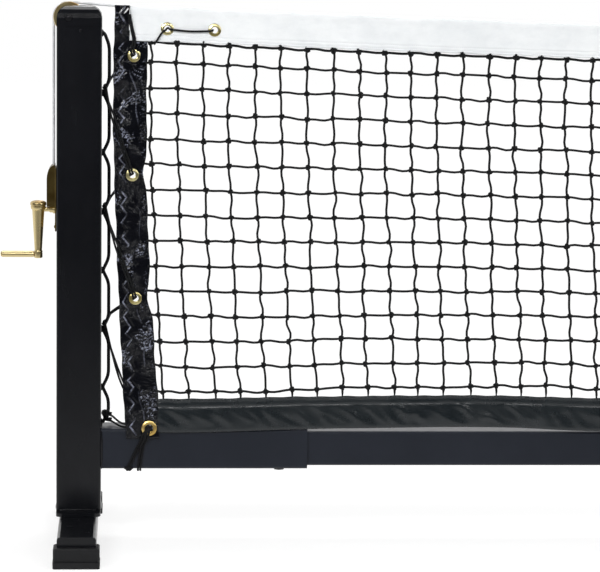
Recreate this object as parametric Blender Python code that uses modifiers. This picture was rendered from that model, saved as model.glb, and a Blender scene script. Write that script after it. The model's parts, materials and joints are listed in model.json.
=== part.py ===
"""Portable pickleball net: two square posts on floor feet, joined by a telescoping crossbar,
with a laced net hung from a cable that a worm winch tightens.

Metres, +Z up. X runs along the net, with the winch post at -X. Y runs across the net, and the
lacing side faces -Y. The origin is at the middle of the object's footprint, on the floor.
"""

import math

import bmesh
import bpy
from mathutils import Vector

MM = 0.001

# ---------------------------------------------------------------- driving dimensions
SPAN = 6705.6 * MM              # clear distance between the posts' inner faces, 22 ft
NET_TOP = 922 * MM              # top of the headband at the posts
NET_CENTRE = 863.6 * MM         # top of the headband at mid-net, 34 in
NET_BOTTOM = 192 * MM           # lower fold of the bottom band
NET_LEAN = 38 * MM              # how far the net's foot hangs in front of the posts' centre

POST = 76.2 * MM                # square post, outside
POST_WALL = 3.0 * MM
POST_TOP = 885.3 * MM
CAP_TOP = 920 * MM
CAP_ROUND = 20 * MM
CAP_SKIRT = 20 * MM

FOOT_LENGTH = 496 * MM
FOOT_WIDTH = 65 * MM
FOOT_HEIGHT = 44 * MM
FOOT_LIFT = 6.3 * MM            # floor to the underside of the foot tube
FOOT_WALL = 3 * MM
SHOE_WIDTH = 77 * MM
SHOE_DEPTH = 46 * MM
SHOE_HEIGHT = 34 * MM
SHOE_END = 16 * MM              # rubber in front of the tube's end
SHOE_PAD = 12 * MM              # height of the wider sole
PLATE_THICK = 6 * MM
PLATE_LENGTH = 136 * MM

BAR_AXIS = 163 * MM             # height of the crossbar's centre line
TUBE = 60 * MM                  # square crossbar tube, outside
TUBE_WALL = 2.5 * MM
TUBE_INSET = 12 * MM            # tube end to the post's face
SLEEVE_WALL = 4.6 * MM
SLEEVE_LENGTH = 355 * MM
COUPLER_LENGTH = 400 * MM
SLIDE_CLEAR = 0.4 * MM          # sliding clearance round the crossbar tube
BOLT_INSET = 47 * MM            # set bolt to the sleeve's mouth
BOLT_FLATS = 17 * MM
BOLT_HEAD = 6.4 * MM
BOLT_RADIUS = 4.9 * MM

GAP = 0.3 * MM                  # clearance between seated pieces

PULLEY_HEIGHT = 900 * MM
PULLEY_OUT = 56 * MM            # pulley axle, outward from the post's inner face
PULLEY_RADIUS = 26.4 * MM
PULLEY_WIDTH = 15 * MM
GROOVE_RADIUS = 23.3 * MM
AXLE_RADIUS = 4 * MM
CABLE_RADIUS = 2.2 * MM

BAR_RADIUS = 3.2 * MM           # lacing bar
BAR_REACH = 12.5 * MM           # its straight runs, from the post's face
BAR_FIRST = 873.5 * MM            # uppermost weld
BAR_PITCH = 101.4 * MM
BAR_WELDS = 7
BAR_BEND = 26 * MM              # half the height of each dip
BAR_END = 203 * MM

BAND_WIDTH = 57 * MM            # side band
BAND_THICK = 2.4 * MM
BAND_BOTTOM = 182 * MM
HEADBAND_HEIGHT = 58.5 * MM
HEADBAND_INSET = 46.8 * MM      # headband's end to the post's face
BOTTOM_BAND_HEIGHT = 58 * MM
BAND_LIFT = 6.5 * MM            # rise of the bottom band's lower fold, clear of the corners
VINYL = 1.0 * MM                # one layer of the folded bands
MESH_THICK = 3 * MM
MESH_STRAND = 6 * MM
MESH_TUCK = 5 * MM              # how far the net reaches into the folded bands
MESH_COLUMNS = 26
MESH_ROWS = 4
EDGE_GAP = 0.6 * MM

GROMMET_RADIUS = 11 * MM
GROMMET_HOLE = 5.5 * MM
CORNER_GROMMET_RADIUS = 13 * MM
CORNER_GROMMET_HOLE = 6.5 * MM
CORD_RADIUS = 1.5 * MM

STRAP_WIDTH = 50 * MM
STRAP_THICK = 2 * MM
STRAP_BEND = 520 * MM           # height of the strap's bend under its buckle

GEAR_TEETH = 24
GEAR_MODULE = 2 * MM
GEAR_WIDTH = 12 * MM
WORM_PITCH_RADIUS = 7 * MM
WORM_LENGTH = 26 * MM
SHAFT_RADIUS = 4 * MM
DRUM_RADIUS = 17 * MM
DRUM_FLANGE = 22 * MM
SHAFT_HEIGHT = 573.3 * MM       # crank shaft
GEAR_SIDE = -9 * MM             # worm and wheel, along Y
CRANK_OUT = 31.5 * MM           # crank arm's centre line, from the post's outer face
CRANK_RADIUS = 77 * MM
GRIP_LENGTH = 57 * MM
GRIP_RADIUS = 5 * MM
COVER_REACH = 17 * MM
COVER_WALL = 1.5 * MM
WINCH_PLATE = 2.5 * MM

ANCHOR_HEIGHT = 650 * MM        # cable anchor on the far post
ANCHOR_REACH = 16 * MM

# ---------------------------------------------------------------- sizes that follow
HALF = SPAN / 2
SLEEVE = TUBE + 2 * (SLIDE_CLEAR + SLEEVE_WALL)
FOOT_TOP = FOOT_LIFT + FOOT_HEIGHT
POST_BOTTOM = FOOT_TOP + PLATE_THICK + 2 * GAP
GEAR_PITCH_RADIUS = GEAR_TEETH * GEAR_MODULE / 2
WORM_LEAD = math.pi * GEAR_MODULE
LEAD_ANGLE = math.atan(WORM_LEAD / (2 * math.pi * WORM_PITCH_RADIUS))
CABLE_OUT = PULLEY_OUT + GROOVE_RADIUS + GAP + CABLE_RADIUS
DRUM_OUT = CABLE_OUT - DRUM_RADIUS - GAP - CABLE_RADIUS
GEAR_HEIGHT = SHAFT_HEIGHT + WORM_PITCH_RADIUS + GEAR_PITCH_RADIUS
GRIP_START = POST + CRANK_OUT + 7.6 * MM
GRIP_END = GRIP_START + GRIP_LENGTH
PIN_HEAD = 1.6 * MM
CRANK_REACH = GRIP_END + GAP + PIN_HEAD
ANCHOR_OUT = POST + GAP + ANCHOR_REACH
CENTRE_X = (CRANK_REACH - ANCHOR_OUT) / 2       # moves the footprint's middle to the origin


# ---------------------------------------------------------------- places
def place(side, outward, y=0.0, z=0.0):
    """A point given by its distance outward from the inner face of the post on that side."""
    return Vector((side * (HALF + outward) + CENTRE_X, y, z))


def net_top(x):
    """Height of the headband's fold, x metres from the middle of the net."""
    return NET_TOP - (NET_TOP - NET_CENTRE) * (1 - (x / HALF) ** 2)


def net_y(z):
    """The net hangs in one plane, from over the posts' centre down in front of the crossbar."""
    return -NET_LEAN * (NET_TOP - z) / (NET_TOP - NET_BOTTOM)


def lean_with_net(item):
    """Tip a piece whose axis runs along Y so that it stands square to the net's plane."""
    item.rotation_euler.x -= math.atan(NET_LEAN / (NET_TOP - NET_BOTTOM))
    return item


def band_edge(z):
    """Distance from the post's face to the side band's outer edge, which leans in as it drops."""
    upper_height = 720 * MM
    if z > upper_height:
        rise = (z - upper_height) / (NET_TOP - upper_height)
        return (19 + 2.5 * rise ** 2) * MM
    drop = (upper_height - z) / (upper_height - BAND_BOTTOM)
    return (19 + 14 * drop + 10 * drop ** 2) * MM


def net_edge(z):
    """Distance from the middle of the net to the edge of its mesh."""
    return HALF - band_edge(z) - BAND_WIDTH - EDGE_GAP


# ---------------------------------------------------------------- scene and materials
def clear_scene():
    for item in list(bpy.data.objects):
        bpy.data.objects.remove(item, do_unlink=True)


def make_collection(name):
    collection = bpy.data.collections.new(name)
    bpy.context.scene.collection.children.link(collection)
    return collection


def material(name, colour, roughness, metallic=0.0):
    """A Principled material, made once for each name."""
    found = bpy.data.materials.get(name)
    if found:
        return found
    made = bpy.data.materials.new(name)
    made.use_nodes = True
    shader = made.node_tree.nodes["Principled BSDF"]
    shader.inputs["Base Color"].default_value = (*colour, 1.0)
    shader.inputs["Roughness"].default_value = roughness
    shader.inputs["Metallic"].default_value = metallic
    return made


def powder_coat():
    return material("black_powder_coat", (0.012, 0.013, 0.016), 0.25)


def brass():
    return material("polished_brass", (0.62, 0.44, 0.16), 0.25, 1.0)


def black_vinyl():
    return material("black_vinyl", (0.012, 0.012, 0.014), 0.3)


def white_vinyl():
    return material("white_vinyl", (0.82, 0.83, 0.83), 0.45)


def black_cord():
    return material("black_cord", (0.01, 0.01, 0.011), 0.7)


def steel():
    return material("zinc_steel", (0.55, 0.56, 0.58), 0.35, 1.0)


def black_bolt():
    return material("black_bolt", (0.015, 0.015, 0.016), 0.4, 0.6)


def rubber():
    return material("black_rubber", (0.02, 0.02, 0.022), 0.75)


def coated_cable():
    return material("white_coated_cable", (0.75, 0.75, 0.76), 0.4)


def white_webbing():
    return material("white_webbing", (0.8, 0.8, 0.8), 0.8)


# ---------------------------------------------------------------- modelling helpers
AXIS_TURN = {"X": (0, math.pi / 2, 0), "Y": (-math.pi / 2, 0, 0), "Z": (0, 0, 0)}


def add_object(name, data, finish, location=(0, 0, 0), axis="Z", cutter=False):
    made = bpy.data.objects.new(name, data)
    made.location = location
    made.rotation_euler = AXIS_TURN[axis]
    if cutter:
        CUTTERS.objects.link(made)
        made.hide_render = True
        made.display_type = "WIRE"
        return made
    NET.objects.link(made)
    made.data.materials.append(finish)
    return made


def mesh_from(bm, name):
    bmesh.ops.recalc_face_normals(bm, faces=bm.faces)
    mesh = bpy.data.meshes.new(name)
    bm.to_mesh(mesh)
    bm.free()
    return mesh


def bevel(target, width, segments=2, angle=40):
    modifier = target.modifiers.new("edges", "BEVEL")
    modifier.width = width
    modifier.segments = segments
    modifier.limit_method = "ANGLE"
    modifier.angle_limit = math.radians(angle)
    return modifier


def boolean(target, other, operation):
    modifier = target.modifiers.new(operation.lower(), "BOOLEAN")
    modifier.operation = operation
    modifier.solver = "EXACT"
    modifier.object = other
    return modifier


def cut(target, cutter):
    return boolean(target, cutter, "DIFFERENCE")


def join(target, other):
    return boolean(target, other, "UNION")


def box(name, size, centre, finish=None, cutter=False, axis="Z"):
    bm = bmesh.new()
    bmesh.ops.create_cube(bm, size=1.0)
    bmesh.ops.scale(bm, vec=size, verts=bm.verts)
    return add_object(name, mesh_from(bm, name), finish, centre, axis, cutter)


def cylinder(name, radius, depth, centre, axis, finish=None, cutter=False, sides=24):
    bm = bmesh.new()
    bmesh.ops.create_cone(bm, cap_ends=True, segments=sides, radius1=radius, radius2=radius,
                          depth=depth)
    made = add_object(name, mesh_from(bm, name), finish, centre, axis, cutter)
    made.data.shade_smooth()
    made.data.set_sharp_from_angle(angle=math.radians(40))
    return made


def square_tube(name, width, height, wall, length, radius, centre, axis, finish):
    """A hollow rounded-square section: an open skin along local Z, made solid inwards."""
    steps = 3
    outline = []
    for corner in range(4):
        sign_x = (1, -1, -1, 1)[corner]
        sign_y = (1, 1, -1, -1)[corner]
        for step in range(steps + 1):
            angle = math.pi / 2 * (corner + step / steps)
            outline.append((sign_x * (width / 2 - radius) + radius * math.cos(angle),
                            sign_y * (height / 2 - radius) + radius * math.sin(angle)))
    bm = bmesh.new()
    ring = [bm.verts.new((x, y, -length / 2)) for x, y in outline]
    edges = [bm.edges.new((ring[i - 1], ring[i])) for i in range(len(ring))]
    grown = bmesh.ops.extrude_edge_only(bm, edges=edges)["geom"]
    top = [item for item in grown if isinstance(item, bmesh.types.BMVert)]
    bmesh.ops.translate(bm, verts=top, vec=(0, 0, length))
    made = add_object(name, mesh_from(bm, name), finish, centre, axis)
    shell = made.modifiers.new("wall", "SOLIDIFY")
    shell.thickness = wall
    shell.offset = -1
    shell.use_even_offset = True
    return made


def turned(name, profile, centre, axis, finish, steps=32, cutter=False):
    """A solid of revolution. profile is a closed loop, or a line whose ends lie on the axis."""
    on_axis = profile[0][0] == 0
    winding = sum(first[0] * second[1] - second[0] * first[1]
                  for first, second in zip(profile, profile[1:] + profile[:1]))
    if winding > 0:
        profile = profile[::-1]
    bm = bmesh.new()
    points = [bm.verts.new((radius, 0, height)) for radius, height in profile]
    for first, second in zip(points, points[1:]):
        bm.edges.new((first, second))
    if not on_axis:
        bm.edges.new((points[-1], points[0]))
    mesh = bpy.data.meshes.new(name)
    bm.to_mesh(mesh)
    bm.free()
    made = add_object(name, mesh, finish, centre, axis, cutter)
    screw = made.modifiers.new("turn", "SCREW")
    screw.axis = "Z"
    screw.angle = math.tau
    screw.steps = steps
    screw.render_steps = steps
    screw.use_merge_vertices = True
    screw.merge_threshold = 0.00001
    screw.use_smooth_shade = True
    return made


def rod(name, points, radius, finish, resolution=2):
    """A round bar or cord along a line of points."""
    curve = bpy.data.curves.new(name, "CURVE")
    curve.dimensions = "3D"
    curve.bevel_depth = radius
    curve.bevel_resolution = resolution
    curve.use_fill_caps = True
    spline = curve.splines.new("POLY")
    spline.points.add(len(points) - 1)
    for spot, point in zip(spline.points, points):
        spot.co = (*point, 1.0)
    return add_object(name, curve, finish)


def sheet(name, columns, rows, point, thickness, finish, closed=False, keep=None):
    """A surface of columns by rows cells made solid about its middle.

    point(i, j) gives each corner. closed joins the last row to the first.
    keep(i, j) says which cells stay.
    """
    bm = bmesh.new()
    lines = rows if closed else rows + 1
    grid = [[bm.verts.new(point(i, j)) for i in range(columns + 1)] for j in range(lines)]
    for j in range(rows):
        above = grid[(j + 1) % lines]
        for i in range(columns):
            if keep is None or keep(i, j):
                bm.faces.new((grid[j][i], grid[j][i + 1], above[i + 1], above[i]))
    loose = [vertex for vertex in bm.verts if not vertex.link_faces]
    bmesh.ops.delete(bm, geom=loose, context="VERTS")
    made = add_object(name, mesh_from(bm, name), finish)
    made.data.shade_smooth()
    body = made.modifiers.new("thickness", "SOLIDIFY")
    body.thickness = thickness
    body.offset = 0
    return made


# ---------------------------------------------------------------- end frame
def side_name(side):
    return "left" if side < 0 else "right"


def end_frame(side):
    name = side_name(side)
    post(side, name)
    foot(side, name)
    crossbar_sleeve(side, name)
    lacing_bar(side, name)
    pulley(side, name)


def pulley_slot(side, name):
    """The cutter that opens the cap and the post's outer wall round the pulley."""
    clear = 0.8 * MM
    reach = PULLEY_RADIUS + 2 * CABLE_RADIUS
    inner = PULLEY_OUT - PULLEY_RADIUS - clear
    outer = POST + 10 * MM
    low = PULLEY_HEIGHT - reach
    high = CAP_TOP + 10 * MM
    return box(name + "_pulley_slot", (outer - inner, PULLEY_WIDTH + 2 * clear, high - low),
               place(side, (inner + outer) / 2, 0, (low + high) / 2), cutter=True)


def post(side, name):
    slot = pulley_slot(side, name)
    centre = POST / 2
    tube = square_tube(name + "_post", POST, POST, POST_WALL, POST_TOP - POST_BOTTOM, 4 * MM,
                       place(side, centre, 0, (POST_TOP + POST_BOTTOM) / 2), "Z", powder_coat())
    cut(tube, slot)
    if side < 0:
        cut(tube, winch_opening())

    # the cap: a block with large round shoulders, and a skirt that plugs the tube
    bottom = POST_TOP + GAP
    height = CAP_TOP - bottom
    bm = bmesh.new()
    bmesh.ops.create_cube(bm, size=1.0)
    bmesh.ops.scale(bm, vec=(POST, POST, height), verts=bm.verts)
    upper = [edge for edge in bm.edges if all(v.co.z > 0 for v in edge.verts)]
    bmesh.ops.bevel(bm, geom=upper, offset=CAP_ROUND, segments=4, profile=0.5, affect="EDGES")
    cap = add_object(name + "_post_cap", mesh_from(bm, "cap"), powder_coat(),
                     place(side, centre, 0, bottom + height / 2))
    inside = POST - 2 * POST_WALL - 2 * GAP
    skirt = box(name + "_cap_skirt", (inside, inside, CAP_SKIRT + 2 * MM),
                place(side, centre, 0, bottom - CAP_SKIRT / 2 + MM), cutter=True)
    bevel(skirt, 1.5 * MM, 1)
    join(cap, skirt)
    cut(cap, slot)
    cut(cap, cylinder(name + "_axle_hole", AXLE_RADIUS + GAP, POST + 10 * MM,
                      place(side, PULLEY_OUT, 0, PULLEY_HEIGHT), "Y", cutter=True))

    plate = box(name + "_base_plate", (POST, PLATE_LENGTH, PLATE_THICK),
                place(side, centre, 0, FOOT_TOP + GAP + PLATE_THICK / 2), powder_coat())
    corners = bevel(plate, 10 * MM, 3)
    corners.limit_method = "WEIGHT"
    weights = plate.data.attributes.new("bevel_weight_edge", "FLOAT", "EDGE")
    for edge in plate.data.edges:
        first, second = (plate.data.vertices[i].co for i in edge.vertices)
        weights.data[edge.index].value = 1.0 if abs(first.z - second.z) > PLATE_THICK / 2 else 0.0


def foot(side, name):
    """The ground tube, closed by an end plate under each shoe and vented below the base plate."""
    centre = POST / 2
    length = FOOT_LENGTH - 2 * (SHOE_END + 0.5 * MM)
    middle = FOOT_LIFT + FOOT_HEIGHT / 2
    tube = square_tube(name + "_foot", FOOT_WIDTH, FOOT_HEIGHT, FOOT_WALL, length, 5 * MM,
                       place(side, centre, 0, middle), "Y", powder_coat())
    plate = (FOOT_WIDTH - FOOT_WALL, FOOT_WALL, FOOT_HEIGHT - FOOT_WALL)
    for end in (-1, 1):
        y = end * (length / 2 - 0.8 * MM - FOOT_WALL / 2)
        join(tube, box(name + "_end_plate", plate, place(side, centre, y, middle), cutter=True))
    cut(tube, cylinder(name + "_vent", 5 * MM, 4 * FOOT_WALL,
                       place(side, centre, 0, FOOT_LIFT + FOOT_HEIGHT), "Z", cutter=True, sides=12))
    for end, where in ((-1, "front"), (1, "rear")):
        shoe(side, name + "_" + where + "_shoe", end, middle)


def shoe(side, name, end, tube_middle):
    """A rubber boot pushed over the foot tube's end, with a groove round it above the sole."""
    chamfer = 3 * MM
    levels = [(0.0, 0.4 * MM), (SHOE_PAD - MM, 0.8 * MM), (SHOE_PAD, -0.8 * MM),
              (SHOE_PAD + 1.5 * MM, -0.8 * MM), (SHOE_PAD + 2.5 * MM, 0.0),
              (SHOE_HEIGHT - 2 * MM, 0.0), (SHOE_HEIGHT, -2 * MM)]
    y = end * (FOOT_LENGTH / 2 - SHOE_DEPTH / 2)
    bm = bmesh.new()
    rings = []
    for height, grow in levels:
        x_half = SHOE_WIDTH / 2 + grow
        y_half = SHOE_DEPTH / 2 + grow - 0.8 * MM
        ring = []
        for sign_x, sign_y in ((1, 1), (-1, 1), (-1, -1), (1, -1)):
            pair = [(x_half, y_half - chamfer), (x_half - chamfer, y_half)]
            if sign_x * sign_y < 0:
                pair.reverse()
            ring += [bm.verts.new((sign_x * a, sign_y * b, height)) for a, b in pair]
        rings.append(ring)
    for low, high in zip(rings, rings[1:]):
        for k in range(8):
            bm.faces.new((low[k], low[(k + 1) % 8], high[(k + 1) % 8], high[k]))
    bm.faces.new(rings[0])
    bm.faces.new(rings[-1])
    boot = add_object(name, mesh_from(bm, name), rubber(), place(side, POST / 2, y, 0))
    pocket_length = SHOE_DEPTH - SHOE_END + GAP + 4 * MM
    pocket = box(name + "_pocket",
                 (FOOT_WIDTH + 2 * GAP, pocket_length, FOOT_HEIGHT + 2 * GAP),
                 place(side, POST / 2,
                       end * (FOOT_LENGTH / 2 - SHOE_END + GAP - pocket_length / 2), tube_middle),
                 cutter=True)
    cut(boot, pocket)


def crossbar_sleeve(side, name):
    """The crossbar socket on the post's inner face, with the set bolt under its mouth."""
    middle = -(GAP + SLEEVE_LENGTH / 2)
    sleeve = square_tube(name + "_sleeve", SLEEVE, SLEEVE, SLEEVE_WALL, SLEEVE_LENGTH, 5 * MM,
                         place(side, middle, 0, BAR_AXIS), "X", powder_coat())
    bolt_out = -(GAP + SLEEVE_LENGTH - BOLT_INSET)
    cut(sleeve, cylinder(name + "_bolt_hole", BOLT_RADIUS + GAP, 4 * SLEEVE_WALL,
                         place(side, bolt_out, 0, BAR_AXIS - SLEEVE / 2), "Z", cutter=True))
    hex_bolt(name + "_set_bolt", place(side, bolt_out, 0, 0), black_bolt())


def hex_bolt(name, spot, finish, cutter=False):
    """A hex bolt screwed up through a sleeve's lower wall to the crossbar tube."""
    under = BAR_AXIS - SLEEVE / 2 - GAP
    tip = BAR_AXIS - TUBE / 2 - GAP
    bolt = cylinder(name, BOLT_FLATS / math.sqrt(3), BOLT_HEAD,
                    (spot.x, spot.y, under - BOLT_HEAD / 2), "Z", finish, cutter, sides=6)
    bevel(bolt, 0.8 * MM, 1)
    shank = cylinder(name + "_shank", BOLT_RADIUS, tip - under + 2 * MM,
                     (spot.x, spot.y, (tip + under) / 2 - MM), "Z", cutter=True, sides=16)
    join(bolt, shank)
    return bolt


def bar_line():
    """Points of the lacing bar as (outward, height): straight runs with a dip at each weld."""
    touch = -(0.88 * BAR_RADIUS + GAP)      # the bar is six-sided, flat to the post
    bend = -BAR_REACH + 1.8 * MM
    line = [(touch, BAR_FIRST)]
    for weld in range(BAR_WELDS):
        height = BAR_FIRST - weld * BAR_PITCH
        if weld:
            line += [(-BAR_REACH, height + BAR_BEND), (bend, height + 0.6 * BAR_BEND),
                     (touch, height)]
        line += [(bend, height - 0.6 * BAR_BEND), (-BAR_REACH, height - BAR_BEND)]
    line += [(-BAR_REACH, BAR_END + 22 * MM), (-BAR_REACH + MM, BAR_END + 14 * MM), (touch, BAR_END)]
    return line


def lacing_bar(side, name):
    points = [place(side, outward, 0, height) for outward, height in bar_line()]
    rod(name + "_lacing_bar", points, BAR_RADIUS, powder_coat(), resolution=1)


def pulley(side, name):
    """The sheave in the cap's slot, and the bolt that it turns on."""
    half = PULLEY_WIDTH / 2
    web = 5.5 * MM
    hub = 9 * MM
    rim = 20 * MM
    bore = AXLE_RADIUS + GAP
    outer = [(PULLEY_RADIUS, half), (PULLEY_RADIUS, half - 2 * MM), (GROOVE_RADIUS, 1.8 * MM),
             (GROOVE_RADIUS, -1.8 * MM), (PULLEY_RADIUS, 2 * MM - half), (PULLEY_RADIUS, -half)]
    profile = outer + [(rim, -half), (hub, -web), (bore, -web), (bore, web), (hub, web),
                       (rim, half)]
    where = place(side, PULLEY_OUT, 0, PULLEY_HEIGHT)
    turned(name + "_pulley", profile, where, "Y", brass(), steps=18)

    face = POST / 2 + GAP
    head = 5.4 * MM
    # along the axle's own axis: the domed head in front, a plain nut behind
    bolt = [(0, face + 3.4 * MM), (2.6 * MM, face + 3 * MM), (head, face + 1.4 * MM), (head, face),
            (AXLE_RADIUS, face), (AXLE_RADIUS, -face), (6 * MM, -face), (6 * MM, -face - 4 * MM),
            (0, -face - 4 * MM)]
    axle = turned(name + "_pulley_axle", bolt, where, "Y", black_bolt(), steps=12)
    axle.rotation_euler = (math.pi / 2, 0, 0)


# ---------------------------------------------------------------- cable
def cable_route(side):
    """From the headband's end over the pulley and down the post's outer face."""
    start_height = net_top(HALF - HEADBAND_INSET) - cable_depth()
    centre = Vector((PULLEY_OUT, PULLEY_HEIGHT))
    radius = CABLE_OUT - PULLEY_OUT
    start = (-HEADBAND_INSET + GAP, start_height)
    # where the run from the headband meets the pulley
    away = Vector(start) - centre
    lean = math.atan2(away.y, away.x) - math.acos(radius / away.length)
    turn = 8
    route = [(start[0], 0, start[1])]
    for step in range(turn + 1):
        angle = lean * (1 - step / turn)
        route.append((centre.x + radius * math.cos(angle), 0, centre.y + radius * math.sin(angle)))
    if side < 0:
        drum_lead = 5 * MM
        route += [(CABLE_OUT, 0.3 * drum_lead, 820 * MM), (CABLE_OUT, 0.7 * drum_lead, 720 * MM),
                  (CABLE_OUT, drum_lead, GEAR_HEIGHT + 30 * MM),
                  (CABLE_OUT, drum_lead, GEAR_HEIGHT + 2 * MM)]
    else:
        route += [(CABLE_OUT, 0, 780 * MM), (CABLE_OUT, 0, ANCHOR_HEIGHT - 7 * MM)]
    return [place(side, *point) for point in route]


def cable_depth():
    """From the headband's fold down to the cable's centre, inside it."""
    return VINYL / 2 + fold_radius()


def fold_radius():
    return CABLE_RADIUS + 1.1 * MM


def cable(side, name):
    rod(name + "_cable", cable_route(side), CABLE_RADIUS, coated_cable(), resolution=1)


def cable_anchor():
    """The far end of the cable drops into a block on the far post's outer face."""
    size = (ANCHOR_REACH, 26 * MM, 24 * MM)
    block = box("right_cable_anchor", size,
                place(1, POST + GAP + ANCHOR_REACH / 2, 0, ANCHOR_HEIGHT), powder_coat())
    bevel(block, 2 * MM, 2)
    cut(block, cylinder("anchor_hole", CABLE_RADIUS + GAP, size[2],
                        place(1, CABLE_OUT, 0, ANCHOR_HEIGHT + 4 * MM), "Z", cutter=True))


# ---------------------------------------------------------------- winch
CHEEK = 3 * MM
CHEEK_LOW_Y = -22 * MM
CHEEK_HIGH_Y = 25 * MM
FRAME_DEPTH = 34 * MM           # rear web of the winch frame, from the post's inner face
FRAME_LOW = 560 * MM
FRAME_HIGH = 640 * MM
PLATE_LOW = 537 * MM
COVER_LOW = 578.7 * MM
COVER_HIGH = 649.6 * MM
COVER_LOW_Y = -22 * MM
COVER_HIGH_Y = 26 * MM


def winch_opening():
    """The slot in the post's outer wall that the winch frame passes through."""
    width = CHEEK_HIGH_Y - CHEEK_LOW_Y + 2 * GAP
    return box("winch_opening", (4 * POST_WALL, width, FRAME_HIGH - FRAME_LOW + 2 * GAP),
               place(-1, POST - POST_WALL / 2, (CHEEK_LOW_Y + CHEEK_HIGH_Y) / 2,
                     (FRAME_LOW + FRAME_HIGH) / 2), cutter=True)


def span_box(name, low, high, finish=None, cutter=False):
    """A box between two corners, both given as (outward, y, z) on the winch post."""
    middle = [(a + b) / 2 for a, b in zip(low, high)]
    size = [abs(b - a) for a, b in zip(low, high)]
    return box(name, size, place(-1, *middle), finish, cutter)


def winch_frame():
    """Mounting plate on the post's face, with two bearing cheeks and a rear web inside."""
    face = POST + GAP
    plate_top = COVER_HIGH - 4 * MM
    frame = span_box("winch_frame", (face, -30 * MM, PLATE_LOW),
                     (face + WINCH_PLATE, 30 * MM, plate_top), brass())
    bevel(frame, MM, 1)
    for label, y in (("near", CHEEK_LOW_Y), ("far", CHEEK_HIGH_Y - CHEEK)):
        cheek = span_box("winch_cheek_" + label, (FRAME_DEPTH, y, FRAME_LOW),
                         (face + MM, y + CHEEK, FRAME_HIGH), cutter=True)
        join(frame, cheek)
    web = span_box("winch_web", (FRAME_DEPTH - CHEEK, CHEEK_LOW_Y, FRAME_LOW),
                   (FRAME_DEPTH + 0.5 * MM, CHEEK_HIGH_Y, FRAME_HIGH), cutter=True)
    join(frame, web)
    window = span_box("winch_window", (face - MM, CHEEK_LOW_Y + CHEEK + MM, COVER_LOW + MM),
                      (face + 3 * WINCH_PLATE, CHEEK_HIGH_Y - CHEEK - MM, COVER_HIGH - 12 * MM),
                      cutter=True)
    cut(frame, window)
    cut(frame, cylinder("drum_bearing", SHAFT_RADIUS + MM + GAP, 80 * MM,
                        place(-1, DRUM_OUT, 0, GEAR_HEIGHT), "Y", cutter=True))
    cut(frame, cylinder("worm_bearing", SHAFT_RADIUS + GAP, 90 * MM,
                        place(-1, POST - 15 * MM, GEAR_SIDE, SHAFT_HEIGHT), "X", cutter=True))


def cover_outline(inset):
    """Side view of the winch cover as (outward, height), smaller all round by inset."""
    back = POST + GAP + WINCH_PLATE + GAP
    front = POST + COVER_REACH - inset
    low = COVER_LOW + inset
    high = COVER_HIGH - inset
    round_x = front - back - 1.2 * MM
    round_z = 24 * MM - inset
    if inset:
        back -= 2 * MM
    steps = 6
    points = [(back, low), (front, low)]
    for step in range(steps + 1):
        angle = math.pi / 2 * step / steps
        points.append((front - round_x * (1 - math.cos(angle)),
                       high - round_z * (1 - math.sin(angle))))
    points.append((back, high))
    return points


def prism(name, outline, low_y, high_y, finish=None, cutter=False):
    """An outline in (outward, height) on the winch post, drawn out from low_y to high_y."""
    bm = bmesh.new()
    face = bm.faces.new([bm.verts.new(place(-1, outward, low_y, height))
                         for outward, height in outline])
    grown = bmesh.ops.extrude_face_region(bm, geom=[face])["geom"]
    moved = [item for item in grown if isinstance(item, bmesh.types.BMVert)]
    bmesh.ops.translate(bm, verts=moved, vec=(0, high_y - low_y, 0))
    return add_object(name, mesh_from(bm, name), finish, cutter=cutter)


def winch_cover():
    """A brass hood with a round shoulder, open at the back, with a hole for the cable."""
    hood = prism("winch_cover", cover_outline(0), COVER_LOW_Y, COVER_HIGH_Y, brass())
    hollow = prism("winch_cover_hollow", cover_outline(COVER_WALL), COVER_LOW_Y + COVER_WALL,
                   COVER_HIGH_Y - COVER_WALL, cutter=True)
    cut(hood, hollow)
    cut(hood, cylinder("cable_entry", CABLE_RADIUS + 1.2 * MM, 40 * MM,
                       place(-1, CABLE_OUT, 5 * MM, COVER_HIGH), "Z", cutter=True))


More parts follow.
